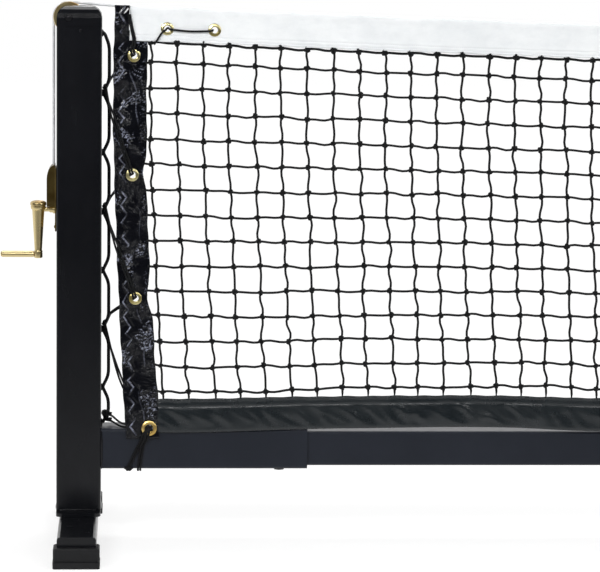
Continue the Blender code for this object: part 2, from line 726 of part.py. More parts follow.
def worm_shaft():
    """The crank shaft. Its thread is a trapezoid swept along a helix and joined to the core."""
    root = WORM_PITCH_RADIUS - 1.25 * GEAR_MODULE + 0.2 * MM
    tip = WORM_PITCH_RADIUS + 0.85 * GEAR_MODULE
    inner = FRAME_DEPTH - CHEEK
    outer = POST + CRANK_OUT + 5 * MM
    shaft = cylinder("worm_shaft", SHAFT_RADIUS, outer - inner,
                     place(-1, (inner + outer) / 2, GEAR_SIDE, SHAFT_HEIGHT), "X", brass())
    core = cylinder("worm_core", root, WORM_LENGTH,
                    place(-1, DRUM_OUT, GEAR_SIDE, SHAFT_HEIGHT), "X", cutter=True)
    join(shaft, core)

    turns = 3
    flank = math.tan(math.radians(20))
    half_pitch_line = WORM_LEAD / 4 - 0.55 * MM
    half_tip = half_pitch_line - flank * (tip - WORM_PITCH_RADIUS)
    half_root = half_pitch_line + flank * (WORM_PITCH_RADIUS - root + 0.4 * MM)
    low = -turns * WORM_LEAD / 2
    bm = bmesh.new()
    corners = [(root - 0.4 * MM, half_root), (tip, half_tip), (tip, -half_tip),
               (root - 0.4 * MM, -half_root)]
    start = [bm.verts.new((radius, 0, low + along)) for radius, along in corners]
    steps = 14 * turns
    ring = start
    for step in range(1, steps + 1):
        angle = math.tau * step / 14
        climb = WORM_LEAD * step / 14
        new_ring = [bm.verts.new((radius * math.cos(angle), radius * math.sin(angle),
                                  low + along + climb)) for radius, along in corners]
        for k in range(4):
            bm.faces.new((ring[k], ring[(k + 1) % 4], new_ring[(k + 1) % 4], new_ring[k]))
        ring = new_ring
    bm.faces.new(start)
    bm.faces.new(ring)
    thread = add_object("worm_thread", mesh_from(bm, "worm_thread"), None,
                        place(-1, DRUM_OUT, GEAR_SIDE, SHAFT_HEIGHT), "X", cutter=True)
    join(shaft, thread)


def worm_wheel():
    """A helical wheel whose teeth slope by the worm's lead angle, with a keyed-on bore."""
    tip = GEAR_PITCH_RADIUS + GEAR_MODULE
    root = GEAR_PITCH_RADIUS - 1.2 * GEAR_MODULE
    backlash = 0.45 * MM
    pitch_angle = math.tau / GEAR_TEETH
    at_pitch = (WORM_LEAD / 4 - backlash) / GEAR_PITCH_RADIUS
    flank = math.tan(math.radians(20))
    at_tip = at_pitch - flank * GEAR_MODULE / tip
    at_root = at_pitch + flank * 1.2 * GEAR_MODULE / root
    outline = []
    for tooth in range(GEAR_TEETH):
        # a gap faces straight down, onto the worm's thread
        middle = -math.pi / 2 + (tooth + 0.5) * pitch_angle
        for radius, half in ((root, -at_root), (tip, -at_tip), (tip, at_tip), (root, at_root)):
            outline.append((radius, middle + half))
    twist = GEAR_WIDTH / 2 * math.tan(LEAD_ANGLE) / GEAR_PITCH_RADIUS
    bm = bmesh.new()
    rings = []
    for y, turn in ((-GEAR_WIDTH / 2, twist), (GEAR_WIDTH / 2, -twist)):
        rings.append([bm.verts.new((radius * math.cos(angle + turn), y,
                                    radius * math.sin(angle + turn))) for radius, angle in outline])
    count = len(outline)
    for k in range(count):
        bm.faces.new((rings[0][k], rings[0][(k + 1) % count], rings[1][(k + 1) % count], rings[1][k]))
    bm.faces.new(rings[0])
    bm.faces.new(rings[1])
    wheel = add_object("worm_wheel", mesh_from(bm, "worm_wheel"), brass(),
                       place(-1, DRUM_OUT, GEAR_SIDE, GEAR_HEIGHT))
    cut(wheel, cylinder("wheel_bore", SHAFT_RADIUS + MM + GAP, 2 * GEAR_WIDTH,
                        place(-1, DRUM_OUT, GEAR_SIDE, GEAR_HEIGHT), "Y", cutter=True))


def cable_drum():
    """The drum and its axle in one piece, turning with the worm wheel."""
    start = GEAR_SIDE + GEAR_WIDTH / 2 + GAP
    end = CHEEK_HIGH_Y - CHEEK - 2 * MM
    flange = 2 * MM
    axle = SHAFT_RADIUS + MM
    profile = [(0, CHEEK_LOW_Y + 0.5 * MM), (axle, CHEEK_LOW_Y + 0.5 * MM), (axle, start),
               (DRUM_FLANGE, start), (DRUM_FLANGE, start + flange), (DRUM_RADIUS, start + flange),
               (DRUM_RADIUS, end - flange), (DRUM_FLANGE, end - flange), (DRUM_FLANGE, end),
               (axle, end), (axle, CHEEK_HIGH_Y - 0.5 * MM), (0, CHEEK_HIGH_Y - 0.5 * MM)]
    drum = turned("cable_drum", profile, place(-1, DRUM_OUT, 0, GEAR_HEIGHT), "Y", steel(), 22)
    drum.rotation_euler = (-math.pi / 2, 0, 0)


def crank():
    """The turned arm that hangs from the shaft, and the grip that spins on its pin."""
    centre = place(-1, POST + CRANK_OUT, GEAR_SIDE, SHAFT_HEIGHT)
    tip = -CRANK_RADIUS
    profile = [(0, 15.4 * MM), (9 * MM, 14.8 * MM), (13 * MM, 13 * MM), (13.7 * MM, 10.5 * MM),
               (13.7 * MM, 7.5 * MM), (12.6 * MM, 6.8 * MM), (12.6 * MM, -MM), (10.4 * MM, -3 * MM),
               (6.3 * MM, tip + 7 * MM), (7.3 * MM, tip + 5.6 * MM), (7.3 * MM, tip - 5 * MM),
               (6.3 * MM, tip - 6.4 * MM), (0, tip - 6.8 * MM)]
    arm = turned("crank_arm", profile, centre, "Z", brass(), 16)
    bore_end = CRANK_OUT + 5 * MM + GAP
    cut(arm, cylinder("shaft_bore", SHAFT_RADIUS + GAP, 40 * MM,
                      place(-1, POST + bore_end - 20 * MM, GEAR_SIDE, SHAFT_HEIGHT), "X",
                      cutter=True))

    pin_height = SHAFT_HEIGHT + tip
    pin_start = POST + CRANK_OUT + 2 * MM
    pin = cylinder("grip_pin", 2.5 * MM, GRIP_END + GAP + MM - pin_start,
                   place(-1, (pin_start + GRIP_END + GAP + MM) / 2, GEAR_SIDE, pin_height), "X",
                   cutter=True, sides=12)
    head = cylinder("grip_pin_head", 4.4 * MM, PIN_HEAD,
                    place(-1, GRIP_END + GAP + PIN_HEAD / 2, GEAR_SIDE, pin_height), "X",
                    cutter=True, sides=16)
    join(arm, pin)
    join(arm, head)

    half = GRIP_LENGTH / 2
    bore = 2.8 * MM
    sleeve = [(bore, half), (GRIP_RADIUS - 0.8 * MM, half), (GRIP_RADIUS, half - 0.8 * MM),
              (GRIP_RADIUS, 0.8 * MM - half), (GRIP_RADIUS - 0.8 * MM, -half), (bore, -half)]
    turned("crank_grip", sleeve, place(-1, (GRIP_START + GRIP_END) / 2, GEAR_SIDE, pin_height), "X",
           brass(), 16)


def winch():
    winch_frame()
    winch_cover()
    worm_shaft()
    worm_wheel()
    cable_drum()
    crank()


# ---------------------------------------------------------------- crossbar
def crossbar():
    """Two tubes that meet inside the middle coupler and slide in the posts' sleeves."""
    length = HALF - TUBE_INSET - 0.5 * MM
    for side in (-1, 1):
        middle = -(TUBE_INSET + length / 2)
        square_tube(side_name(side) + "_crossbar_tube", TUBE, TUBE, TUBE_WALL, length, 4 * MM,
                    place(side, middle, 0, BAR_AXIS), "X", powder_coat())
    coupler = square_tube("crossbar_coupler", SLEEVE, SLEEVE, SLEEVE_WALL, COUPLER_LENGTH, 5 * MM,
                          Vector((CENTRE_X, 0, BAR_AXIS)), "X", powder_coat())
    for side in (-1, 1):
        spot = Vector((CENTRE_X + side * (COUPLER_LENGTH / 2 - BOLT_INSET), 0, 0))
        bolt = hex_bolt(side_name(side) + "_coupler_bolt", spot, None, cutter=True)
        bolt.location.z += GAP + 0.2 * MM
        join(coupler, bolt)


# ---------------------------------------------------------------- net
def net_mesh():
    """The net as a coarse lattice in one plane, tucked into the folded bands."""
    def lines(cells, strand):
        """Pairs of positions from 0 to 1, one pair to each strand."""
        pairs = []
        for index in range(cells + 1):
            middle = strand / 2 + (1 - strand) * index / cells
            pairs += [middle - strand / 2, middle + strand / 2]
        return pairs

    across = lines(MESH_COLUMNS, MESH_STRAND / (2 * net_edge(NET_TOP / 2)))
    low = NET_BOTTOM + BOTTOM_BAND_HEIGHT - MESH_TUCK
    upright = lines(MESH_ROWS, MESH_STRAND / (NET_TOP - HEADBAND_HEIGHT - low))

    def point(i, j):
        share = 2 * across[i] - 1
        x = share * HALF
        high = net_top(x) - HEADBAND_HEIGHT + MESH_TUCK
        z = low + (high - low) * upright[j]
        return Vector((share * net_edge(z) + CENTRE_X, net_y(z), z))

    def keep(i, j):
        return i % 2 == 0 or j % 2 == 0

    sheet("net_mesh", len(across) - 1, len(upright) - 1, point, MESH_THICK, black_cord(), keep=keep)


def headband_fold():
    """Section of the headband as (y, depth below the fold), up the front and down the back."""
    flap = MESH_THICK / 2 + GAP + 0.1 * MM + VINYL / 2
    radius = fold_radius()
    low = HEADBAND_HEIGHT
    front = [(-flap, low), (-flap, 0.3 * low), (-radius, radius + VINYL / 2 + 1.5 * MM)]
    for step in range(1, 4):
        angle = math.pi * step / 4
        front.append((-radius * math.cos(angle), VINYL / 2 + radius * (1 - math.sin(angle))))
    return front + [(-y, depth) for y, depth in reversed(front[:3])]


def headband():
    spans = 14
    section = headband_fold()
    reach = HALF - HEADBAND_INSET

    def point(i, j):
        x = reach * (2 * i / spans - 1)
        y, depth = section[j]
        z = net_top(x) - depth
        return Vector((x + CENTRE_X, net_y(z) + y, z))

    band = sheet("headband", spans, len(section) - 1, point, VINYL, white_vinyl())
    route = []
    for i in range(spans + 1):
        x = (reach - 0.5 * MM) * (2 * i / spans - 1)
        z = net_top(reach * (2 * i / spans - 1)) - cable_depth()
        route.append(Vector((x + CENTRE_X, net_y(z), z)))
    rod("headband_cable", route, CABLE_RADIUS, coated_cable(), resolution=1)
    for side in (-1, 1):
        for index, (outward, height) in enumerate(HEADBAND_GROMMETS, 1):
            spot = place(side, -outward, net_y(height), height)
            label = side_name(side) + "_headband_grommet_" + str(index)
            hole = cylinder(label + "_hole", GROMMET_HOLE + 1.2 * MM, 20 * MM, spot, "Y",
                            cutter=True, sides=12)
            cut(band, lean_with_net(hole))
            depth = 2 * (MESH_THICK / 2 + GAP + 0.1 * MM + VINYL) + 0.6 * MM
            grommet(label, spot, depth, GROMMET_RADIUS, GROMMET_HOLE)


def band_lift(x):
    """How far the bottom band's lower fold rises, away from the corners that pull it down."""
    inward = HALF - abs(x)
    t = min(1.0, max(0.0, (inward - 200 * MM) / (400 * MM)))
    return BAND_LIFT * t * t * (3 - 2 * t)


def bottom_band():
    """A folded strip, open at the top, with soft folds that stand proud of its front."""
    spans = 32
    flap = MESH_THICK / 2 + GAP + 0.1 * MM + VINYL / 2
    rise = BOTTOM_BAND_HEIGHT
    section = [(-flap, rise), (-flap, 0.55 * rise), (-flap, 3 * MM), (0, VINYL / 2), (flap, 3 * MM),
               (flap, rise)]

    def point(i, j):
        y, height = section[j]
        share = 2 * i / spans - 1
        z = NET_BOTTOM + height + band_lift(share * HALF) * (1 - height / rise)
        if y < 0:
            slack = math.sin(math.pi * height / rise)
            y -= 1.6 * MM * slack * (0.5 + 0.5 * math.sin(i * 1.9 + height * 40))
        return Vector((share * net_edge(z) + CENTRE_X, net_y(z) + y, z))

    sheet("bottom_band", spans, len(section) - 1, point, VINYL, black_vinyl())


SIDE_GROMMETS = [(54.2 * MM, 836 * MM), (52.1 * MM, 633.6 * MM), (58.2 * MM, 422.8 * MM)]
CORNER_GROMMET = (82.6 * MM, 199.5 * MM)
HEADBAND_GROMMETS = [(110.6 * MM, 881.6 * MM), (191 * MM, 880.1 * MM)]


def grommet(name, spot, depth, radius, hole):
    """A rolled brass eyelet: a tube with a flange on each side of the cloth."""
    half = depth / 2
    lip = MM
    profile = [(radius, half), (hole, half + lip), (hole, -half - lip), (radius, -half),
               (hole + 0.8 * MM, -half), (hole + 0.8 * MM, half)]
    lean_with_net(turned(name, profile, spot, "Y", brass(), steps=10))


def side_band(side, name):
    """The creased vinyl strip that is laced to the post, flat round each eyelet."""
    rows = 24
    columns = 3
    flats = [height for _, height in SIDE_GROMMETS] + [CORNER_GROMMET[1], NET_TOP]

    def point(i, j):
        z = BAND_BOTTOM + (NET_TOP - MM - BAND_BOTTOM) * j / rows
        away = min(abs(z - flat) for flat in flats)
        slack = min(1.0, max(0.0, (away - 24 * MM) / (20 * MM)))
        crease = 1.1 * MM * slack * math.sin(1.7 * j + 1.3 * i)
        # the upper corner stands in front of the cable
        clear = 4.6 * MM * min(1.0, max(0.0, (z - 868 * MM) / (28 * MM)))
        outward = -(band_edge(z) + BAND_WIDTH * i / columns)
        return place(side, outward, net_y(z) + crease - clear, z)

    band = sheet(name + "_side_band", columns, rows, point, BAND_THICK, black_vinyl())
    low = NET_TOP - HEADBAND_HEIGHT - 1.5 * MM
    high = NET_TOP + 10 * MM
    inner = HEADBAND_INSET - EDGE_GAP
    notch = box(name + "_band_notch", (60 * MM, 30 * MM, high - low),
                place(side, -(inner + 30 * MM), 0, (low + high) / 2), cutter=True)
    cut(band, notch)
    eyelets = [(name + "_side_grommet_" + str(index), place(side, -outward, net_y(height), height),
                GROMMET_RADIUS, GROMMET_HOLE)
               for index, (outward, height) in enumerate(SIDE_GROMMETS, 1)]
    outward, height = CORNER_GROMMET
    eyelets.append((name + "_corner_grommet", place(side, -outward, net_y(height), height),
                    CORNER_GROMMET_RADIUS, CORNER_GROMMET_HOLE))
    for label, spot, radius, hole in eyelets:
        cutter = cylinder(label + "_hole", hole + 1.2 * MM, 20 * MM, spot, "Y", cutter=True,
                          sides=12)
        cut(band, lean_with_net(cutter))
        grommet(label, spot, BAND_THICK + 0.8 * MM, radius, hole)


def through_eyelet(outward, height, lift):
    """Waypoints of a cord that dives from the front of an eyelet to its back."""
    y = net_y(height)
    return [(-outward + 3.5 * MM, y - 6.8 * MM, height + lift + 7 * MM),
            (-outward + 2.2 * MM, y - 5.6 * MM, height + lift + 2.5 * MM),
            (-outward + 2.0 * MM, y - 2.5 * MM, height + lift),
            (-outward + 2.0 * MM, y + 2.5 * MM, height + lift),
            (-outward + 3.0 * MM, y + 6.0 * MM, height + lift - 2.5 * MM),
            (-outward + 8.0 * MM, y + 6.6 * MM, height + lift - 6 * MM)]


def round_bar(height):
    """Waypoints of a cord that comes from behind, turns round the bar and leaves in front."""
    turn = 5.4 * MM
    lean = -9.6 * MM            # the bar's centre where the cord turns, above the weld
    return [(-17.5 * MM, 3.0 * MM, height + 34 * MM),
            (lean - 3.6 * MM, turn, height + 23 * MM),
            (lean + 1.5 * MM, turn, height + 19 * MM),
            (lean + turn, 0, height + 16.5 * MM),
            (lean + 1.0 * MM, -turn, height + 14 * MM),
            (lean - 4.2 * MM, -turn, height + 9 * MM)]


def to_front(height):
    """A waypoint just outside the side band's edge, on the way to its front."""
    return (-(band_edge(height) - 2.6 * MM), net_y(height) - 3.4 * MM, height)


def lacing_route():
    """The lacing cord from the headband's corner to the knot at the foot of the bar."""
    route = [(-48.6 * MM, -7.4 * MM, 911 * MM), (-52.5 * MM, -7.6 * MM, 886 * MM),
             (-55 * MM, -8.2 * MM, 862 * MM)]
    welds = [BAR_FIRST - weld * BAR_PITCH for weld in (1, 3, 5)]
    for (outward, height), weld in zip(SIDE_GROMMETS, welds):
        route += through_eyelet(outward, height, 2.4 * MM)
        route += round_bar(weld)
        if weld != welds[-1]:
            route.append(to_front(weld - 12 * MM))
            route.append((-(band_edge(weld) + 8 * MM), net_y(weld - 40 * MM) - 5.2 * MM,
                          weld - 40 * MM))
    route += corner_tie()
    return route


def corner_tie():
    """From the last weld to the corner eyelet, twice round the sleeve, then to the bar's foot."""
    top = BAR_AXIS + SLEEVE / 2
    low = BAR_AXIS - SLEEVE / 2
    face = SLEEVE / 2
    off = CORD_RADIUS + 0.4 * MM
    outward, height = CORNER_GROMMET
    y = net_y(height)
    route = [(-33 * MM, -22 * MM, 284 * MM), (-60 * MM, -25 * MM, 232 * MM),
             (-80 * MM, -28 * MM, 201 * MM)]
    for turn, (hole, down, under, back) in enumerate(((-85.4, -71, -47.5, -58),
                                                      (-79.6, -78, -64, -70))):
        hole, down, under, back = hole * MM, down * MM, under * MM, back * MM
        route += [(hole, y + 3 * MM, height + 3.3 * MM), (hole, y - 2.5 * MM, height + 3 * MM),
                  (hole + 1.5 * MM, y - 6 * MM, height), (down - 3 * MM, y - 5.4 * MM, height - 9 * MM),
                  (down, y - 4.4 * MM, height - 19 * MM), (down + 6 * MM, -face - off, height - 32 * MM),
                  (under, -face - off, low + 4 * MM), (under, -face + MM, low - off),
                  (under, 0, low - off), (under - 3 * MM, face - MM, low - off),
                  (under - 4 * MM, face + off, low + 4 * MM), (back, face + off, top - 4 * MM),
                  (back, face - MM, top + off)]
        if turn == 0:
            route += [(back - 6 * MM, 0, top + off), (-76 * MM, -28 * MM, top + off)]
    coil = CORD_RADIUS + BAR_RADIUS + 1.2 * MM
    route += [(-62 * MM, 12 * MM, top + off + MM), (-34 * MM, 6.4 * MM, top + 10 * MM),
              (-20 * MM, 5.6 * MM, top + 17 * MM)]
    turns = 2
    for step in range(6 * turns + 1):
        angle = math.pi / 2 - math.tau * step / 6
        route.append((-BAR_REACH - coil * math.cos(angle), coil * math.sin(angle),
                      top + 20 * MM + 3.7 * MM * step / 6))
    return route


def lacing_cord(side, name):
    points = [place(side, *point) for point in lacing_route()]
    rod(name + "_lacing_cord", points, CORD_RADIUS, black_cord(), resolution=1)


def headband_tie(side, name):
    """The cord from the net's corner knot through the headband's two eyelets."""
    (first, first_height), (second, second_height) = HEADBAND_GROMMETS
    front = -(MESH_THICK / 2 + GAP + 0.1 * MM + VINYL + 0.3 * MM + MM + 0.5 * MM + CORD_RADIUS)
    back = -front
    route = [(-88 * MM, front, 855 * MM), (-93 * MM, front, 862 * MM),
             (-first + 9 * MM, front, first_height - 6 * MM),
             (-first + 4 * MM, front - 0.4 * MM, first_height - 2.5 * MM),
             (-first + 2 * MM, front + 2 * MM, first_height - MM),
             (-first + MM, 0, first_height + 0.5 * MM),
             (-first - 1.5 * MM, 0.5 * back, first_height + 1.5 * MM),
             (-first - 3.2 * MM, 0, first_height), (-first - 3.2 * MM, 0.7 * front, first_height),
             (-first - 5 * MM, front - 0.4 * MM, first_height - 0.5 * MM),
             (-first - 12 * MM, front, first_height - 1.5 * MM),
             (-(first + second) / 2, front, (first_height + second_height) / 2 - 3 * MM),
             (-second + 9 * MM, front, second_height - 1.5 * MM),
             (-second + 4 * MM, front + 0.6 * MM, second_height - 0.5 * MM),
             (-second + 3 * MM, 0, second_height), (-second + 3 * MM, back + MM, second_height - 0.5 * MM),
             (-second + 6 * MM, back, second_height - 6 * MM),
             (-second + 8 * MM, back, second_height - 14 * MM)]
    leaned = [(outward, y + net_y(z), z) for outward, y, z in route]
    points = [place(side, *point) for point in leaned]
    rod(name + "_headband_tie", points, CORD_RADIUS, black_cord(), resolution=1)


# ---------------------------------------------------------------- centre strap
def strap_line():
    """The strap's loop as (y, z): over the headband and round under the crossbar coupler."""
    off = STRAP_THICK / 2 + 0.4 * MM
    fold = net_y(NET_CENTRE)
    side = fold_radius() + VINYL / 2 + off
    low = BAR_AXIS - SLEEVE / 2 - off - 0.2 * MM
    half = SLEEVE / 2 + off + 0.3 * MM
    band_front = net_y(NET_BOTTOM) - MESH_THICK / 2 - GAP - VINYL - 2.2 * MM - off
    top = NET_CENTRE + off
    line = []
    for step in range(7):
        angle = math.pi * step / 6
        line.append((fold + side * math.cos(angle), top - side + side * math.sin(angle)))
    line += [(net_y(STRAP_BEND) - 6 * MM, STRAP_BEND), (band_front, NET_BOTTOM + BOTTOM_BAND_HEIGHT),
             (band_front, NET_BOTTOM), (-half, low + 8 * MM), (-half + 1.5 * MM, low + 1.5 * MM),
             (-half + 6 * MM, low), (half - 6 * MM, low), (half - 1.5 * MM, low + 1.5 * MM),
             (half, low + 8 * MM), (half, BAR_AXIS + SLEEVE / 2 - 4 * MM)]
    return line


def centre_strap():
    line = strap_line()

    def point(i, j):
        y, z = line[j]
        return Vector((CENTRE_X + STRAP_WIDTH * (i - 0.5), y, z))

    sheet("center_strap", 1, len(line), point, STRAP_THICK, white_webbing(), closed=True)
    above, bend = Vector(line[6]), Vector(line[7])
    lean = math.atan2(above.x - bend.x, above.y - bend.y)
    spot = (CENTRE_X, bend.x + 30 * MM * math.tan(lean), bend.y + 30 * MM)
    buckle = box("strap_buckle", (STRAP_WIDTH + 10 * MM, 8 * MM, 26 * MM), spot, steel())
    buckle.rotation_euler = (-lean, 0, 0)
    bevel(buckle, 1.5 * MM, 2)
    slot = box("buckle_slot", (STRAP_WIDTH + 0.8 * MM, STRAP_THICK + 0.8 * MM, 40 * MM), spot,
               cutter=True)
    slot.rotation_euler = (-lean, 0, 0)
    cut(buckle, slot)


# ---------------------------------------------------------------- the whole net
clear_scene()
NET = make_collection("portable_pickleball_net")
CUTTERS = make_collection("cutters")

for end_side in (-1, 1):
    end_name = side_name(end_side)
    end_frame(end_side)
    cable(end_side, end_name)
    side_band(end_side, end_name)
    lacing_cord(end_side, end_name)
    headband_tie(end_side, end_name)
cable_anchor()
winch()
crossbar()
net_mesh()
headband()
bottom_band()
centre_strap()
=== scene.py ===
"""Looks for the portable pickleball net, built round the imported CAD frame. Metres, +Z up."""

import json
import math

import bmesh
import bpy
import numpy as np
from mathutils import Matrix, Vector, noise
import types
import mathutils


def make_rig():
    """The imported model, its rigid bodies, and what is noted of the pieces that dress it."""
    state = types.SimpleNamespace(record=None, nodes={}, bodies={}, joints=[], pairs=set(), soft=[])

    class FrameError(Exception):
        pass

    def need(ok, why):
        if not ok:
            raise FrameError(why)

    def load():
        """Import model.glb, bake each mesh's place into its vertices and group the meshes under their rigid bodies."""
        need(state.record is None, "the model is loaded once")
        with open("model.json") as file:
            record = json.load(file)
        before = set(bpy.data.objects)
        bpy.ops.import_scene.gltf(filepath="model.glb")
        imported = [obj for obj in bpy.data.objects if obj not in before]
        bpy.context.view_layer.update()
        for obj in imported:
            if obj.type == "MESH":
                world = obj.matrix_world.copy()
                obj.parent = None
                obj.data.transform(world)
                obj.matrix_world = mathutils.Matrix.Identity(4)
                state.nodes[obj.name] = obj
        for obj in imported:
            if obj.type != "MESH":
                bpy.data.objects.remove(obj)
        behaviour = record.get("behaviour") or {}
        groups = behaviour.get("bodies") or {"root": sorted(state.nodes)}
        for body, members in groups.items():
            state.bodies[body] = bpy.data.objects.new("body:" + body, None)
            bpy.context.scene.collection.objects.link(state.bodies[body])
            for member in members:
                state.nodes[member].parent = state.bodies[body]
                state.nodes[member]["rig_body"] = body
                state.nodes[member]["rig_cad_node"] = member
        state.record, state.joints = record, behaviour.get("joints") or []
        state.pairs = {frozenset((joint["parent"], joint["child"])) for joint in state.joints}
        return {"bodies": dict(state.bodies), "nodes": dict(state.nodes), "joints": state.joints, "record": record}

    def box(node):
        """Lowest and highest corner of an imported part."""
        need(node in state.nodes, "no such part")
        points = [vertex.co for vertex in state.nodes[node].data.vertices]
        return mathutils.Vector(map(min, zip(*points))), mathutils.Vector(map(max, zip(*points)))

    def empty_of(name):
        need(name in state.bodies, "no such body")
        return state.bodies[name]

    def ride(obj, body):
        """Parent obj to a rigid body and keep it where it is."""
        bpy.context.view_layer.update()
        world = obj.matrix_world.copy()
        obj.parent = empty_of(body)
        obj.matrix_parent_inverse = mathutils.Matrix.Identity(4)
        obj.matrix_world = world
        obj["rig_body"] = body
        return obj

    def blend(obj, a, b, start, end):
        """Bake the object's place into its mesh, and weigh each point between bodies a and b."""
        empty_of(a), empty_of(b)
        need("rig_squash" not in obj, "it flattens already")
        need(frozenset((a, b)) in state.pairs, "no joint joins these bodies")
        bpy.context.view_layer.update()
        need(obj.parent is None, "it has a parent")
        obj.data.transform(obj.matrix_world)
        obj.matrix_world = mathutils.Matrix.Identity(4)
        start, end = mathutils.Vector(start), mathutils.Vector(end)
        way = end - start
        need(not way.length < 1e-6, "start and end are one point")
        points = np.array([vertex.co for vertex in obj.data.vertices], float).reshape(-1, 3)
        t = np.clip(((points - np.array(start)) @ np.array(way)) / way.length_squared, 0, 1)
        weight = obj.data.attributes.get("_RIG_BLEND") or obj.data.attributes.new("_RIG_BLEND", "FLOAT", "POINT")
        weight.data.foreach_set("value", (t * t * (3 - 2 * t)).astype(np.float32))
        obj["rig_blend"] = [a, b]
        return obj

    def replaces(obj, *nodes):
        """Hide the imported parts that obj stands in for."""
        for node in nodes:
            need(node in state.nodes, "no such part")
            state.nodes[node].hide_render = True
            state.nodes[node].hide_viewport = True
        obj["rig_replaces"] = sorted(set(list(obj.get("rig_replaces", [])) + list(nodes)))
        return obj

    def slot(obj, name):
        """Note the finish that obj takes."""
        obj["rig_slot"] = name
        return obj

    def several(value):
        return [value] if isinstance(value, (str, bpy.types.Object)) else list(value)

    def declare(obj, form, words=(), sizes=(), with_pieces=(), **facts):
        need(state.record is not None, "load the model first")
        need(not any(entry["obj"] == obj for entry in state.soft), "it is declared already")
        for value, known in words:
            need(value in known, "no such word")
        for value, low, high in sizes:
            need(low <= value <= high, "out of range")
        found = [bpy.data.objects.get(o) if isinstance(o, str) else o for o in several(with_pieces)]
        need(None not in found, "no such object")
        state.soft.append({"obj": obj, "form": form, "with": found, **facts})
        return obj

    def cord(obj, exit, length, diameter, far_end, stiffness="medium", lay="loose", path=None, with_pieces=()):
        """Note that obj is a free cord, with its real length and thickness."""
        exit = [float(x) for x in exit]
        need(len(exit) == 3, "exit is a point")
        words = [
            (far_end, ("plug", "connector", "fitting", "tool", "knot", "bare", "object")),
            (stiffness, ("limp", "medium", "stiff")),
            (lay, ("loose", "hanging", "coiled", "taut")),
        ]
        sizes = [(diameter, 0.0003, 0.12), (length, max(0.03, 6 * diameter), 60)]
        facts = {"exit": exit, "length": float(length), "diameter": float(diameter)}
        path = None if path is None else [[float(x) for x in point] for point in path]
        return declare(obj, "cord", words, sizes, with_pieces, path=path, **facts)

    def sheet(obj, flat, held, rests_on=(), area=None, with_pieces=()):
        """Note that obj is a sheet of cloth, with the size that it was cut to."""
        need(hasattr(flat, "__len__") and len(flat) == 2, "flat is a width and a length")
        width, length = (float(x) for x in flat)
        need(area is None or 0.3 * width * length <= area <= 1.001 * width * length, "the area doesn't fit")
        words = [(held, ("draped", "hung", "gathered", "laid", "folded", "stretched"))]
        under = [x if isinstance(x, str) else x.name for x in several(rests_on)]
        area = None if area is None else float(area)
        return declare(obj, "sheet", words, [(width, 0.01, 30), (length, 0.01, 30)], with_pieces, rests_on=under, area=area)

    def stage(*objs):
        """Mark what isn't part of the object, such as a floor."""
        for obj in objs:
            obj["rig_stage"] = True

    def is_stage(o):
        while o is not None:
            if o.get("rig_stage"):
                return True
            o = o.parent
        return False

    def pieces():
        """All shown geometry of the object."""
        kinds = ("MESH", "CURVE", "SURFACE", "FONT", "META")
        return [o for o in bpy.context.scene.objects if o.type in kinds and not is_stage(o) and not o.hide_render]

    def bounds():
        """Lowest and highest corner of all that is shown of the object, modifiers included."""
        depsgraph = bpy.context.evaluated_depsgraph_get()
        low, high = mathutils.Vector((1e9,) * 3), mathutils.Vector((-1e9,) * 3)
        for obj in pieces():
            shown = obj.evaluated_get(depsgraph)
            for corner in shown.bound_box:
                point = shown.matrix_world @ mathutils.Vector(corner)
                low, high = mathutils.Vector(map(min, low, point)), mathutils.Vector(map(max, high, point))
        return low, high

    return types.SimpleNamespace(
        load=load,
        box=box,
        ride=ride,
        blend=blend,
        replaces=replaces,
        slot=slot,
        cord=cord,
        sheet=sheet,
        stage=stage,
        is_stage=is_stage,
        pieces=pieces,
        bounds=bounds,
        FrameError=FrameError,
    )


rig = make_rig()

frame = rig.load()
cad_low, cad_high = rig.bounds()
NODES = frame["nodes"]
MM = 0.001

# ------------------------------------------------------------------ sizes, as the CAD has them
LEFT_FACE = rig.box("left_post")[1].x            # inner faces of the two posts
RIGHT_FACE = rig.box("right_post")[0].x
CENTRE_X = (LEFT_FACE + RIGHT_FACE) / 2
HALF = (RIGHT_FACE - LEFT_FACE) / 2
POST = 76.2 * MM
NET_TOP = 922 * MM
NET_CENTRE = 863.6 * MM
NET_BOTTOM = 192 * MM
NET_LEAN = 38 * MM
BAND_BOTTOM = 182 * MM
BAND_WIDTH = 57 * MM
HEADBAND_HEIGHT = 58.5 * MM
HEADBAND_INSET = 46.8 * MM
BOTTOM_BAND_HEIGHT = 58 * MM
BAR_AXIS = 163 * MM
SLEEVE = 70 * MM
PULLEY_OUT = 56 * MM
PULLEY_HEIGHT = 900 * MM
CABLE_OUT = 81.8 * MM
CABLE_RADIUS = 2.2 * MM
BAR_FIRST = 873.5 * MM          # the lacing bar's uppermost weld
BAR_PITCH = 101.4 * MM
BAR_WELDS = 7
BAR_REACH = 12.5 * MM
BAR_RADIUS = 2.9 * MM           # as it looks in the photograph, thinner than its solid
BAR_END = 203 * MM
SHAFT_HEIGHT = 573.3 * MM
GEAR_HEIGHT = 604.3 * MM
GEAR_SIDE = -9 * MM
CRANK_OUT = 107.7 * MM
CRANK_RADIUS = 77 * MM
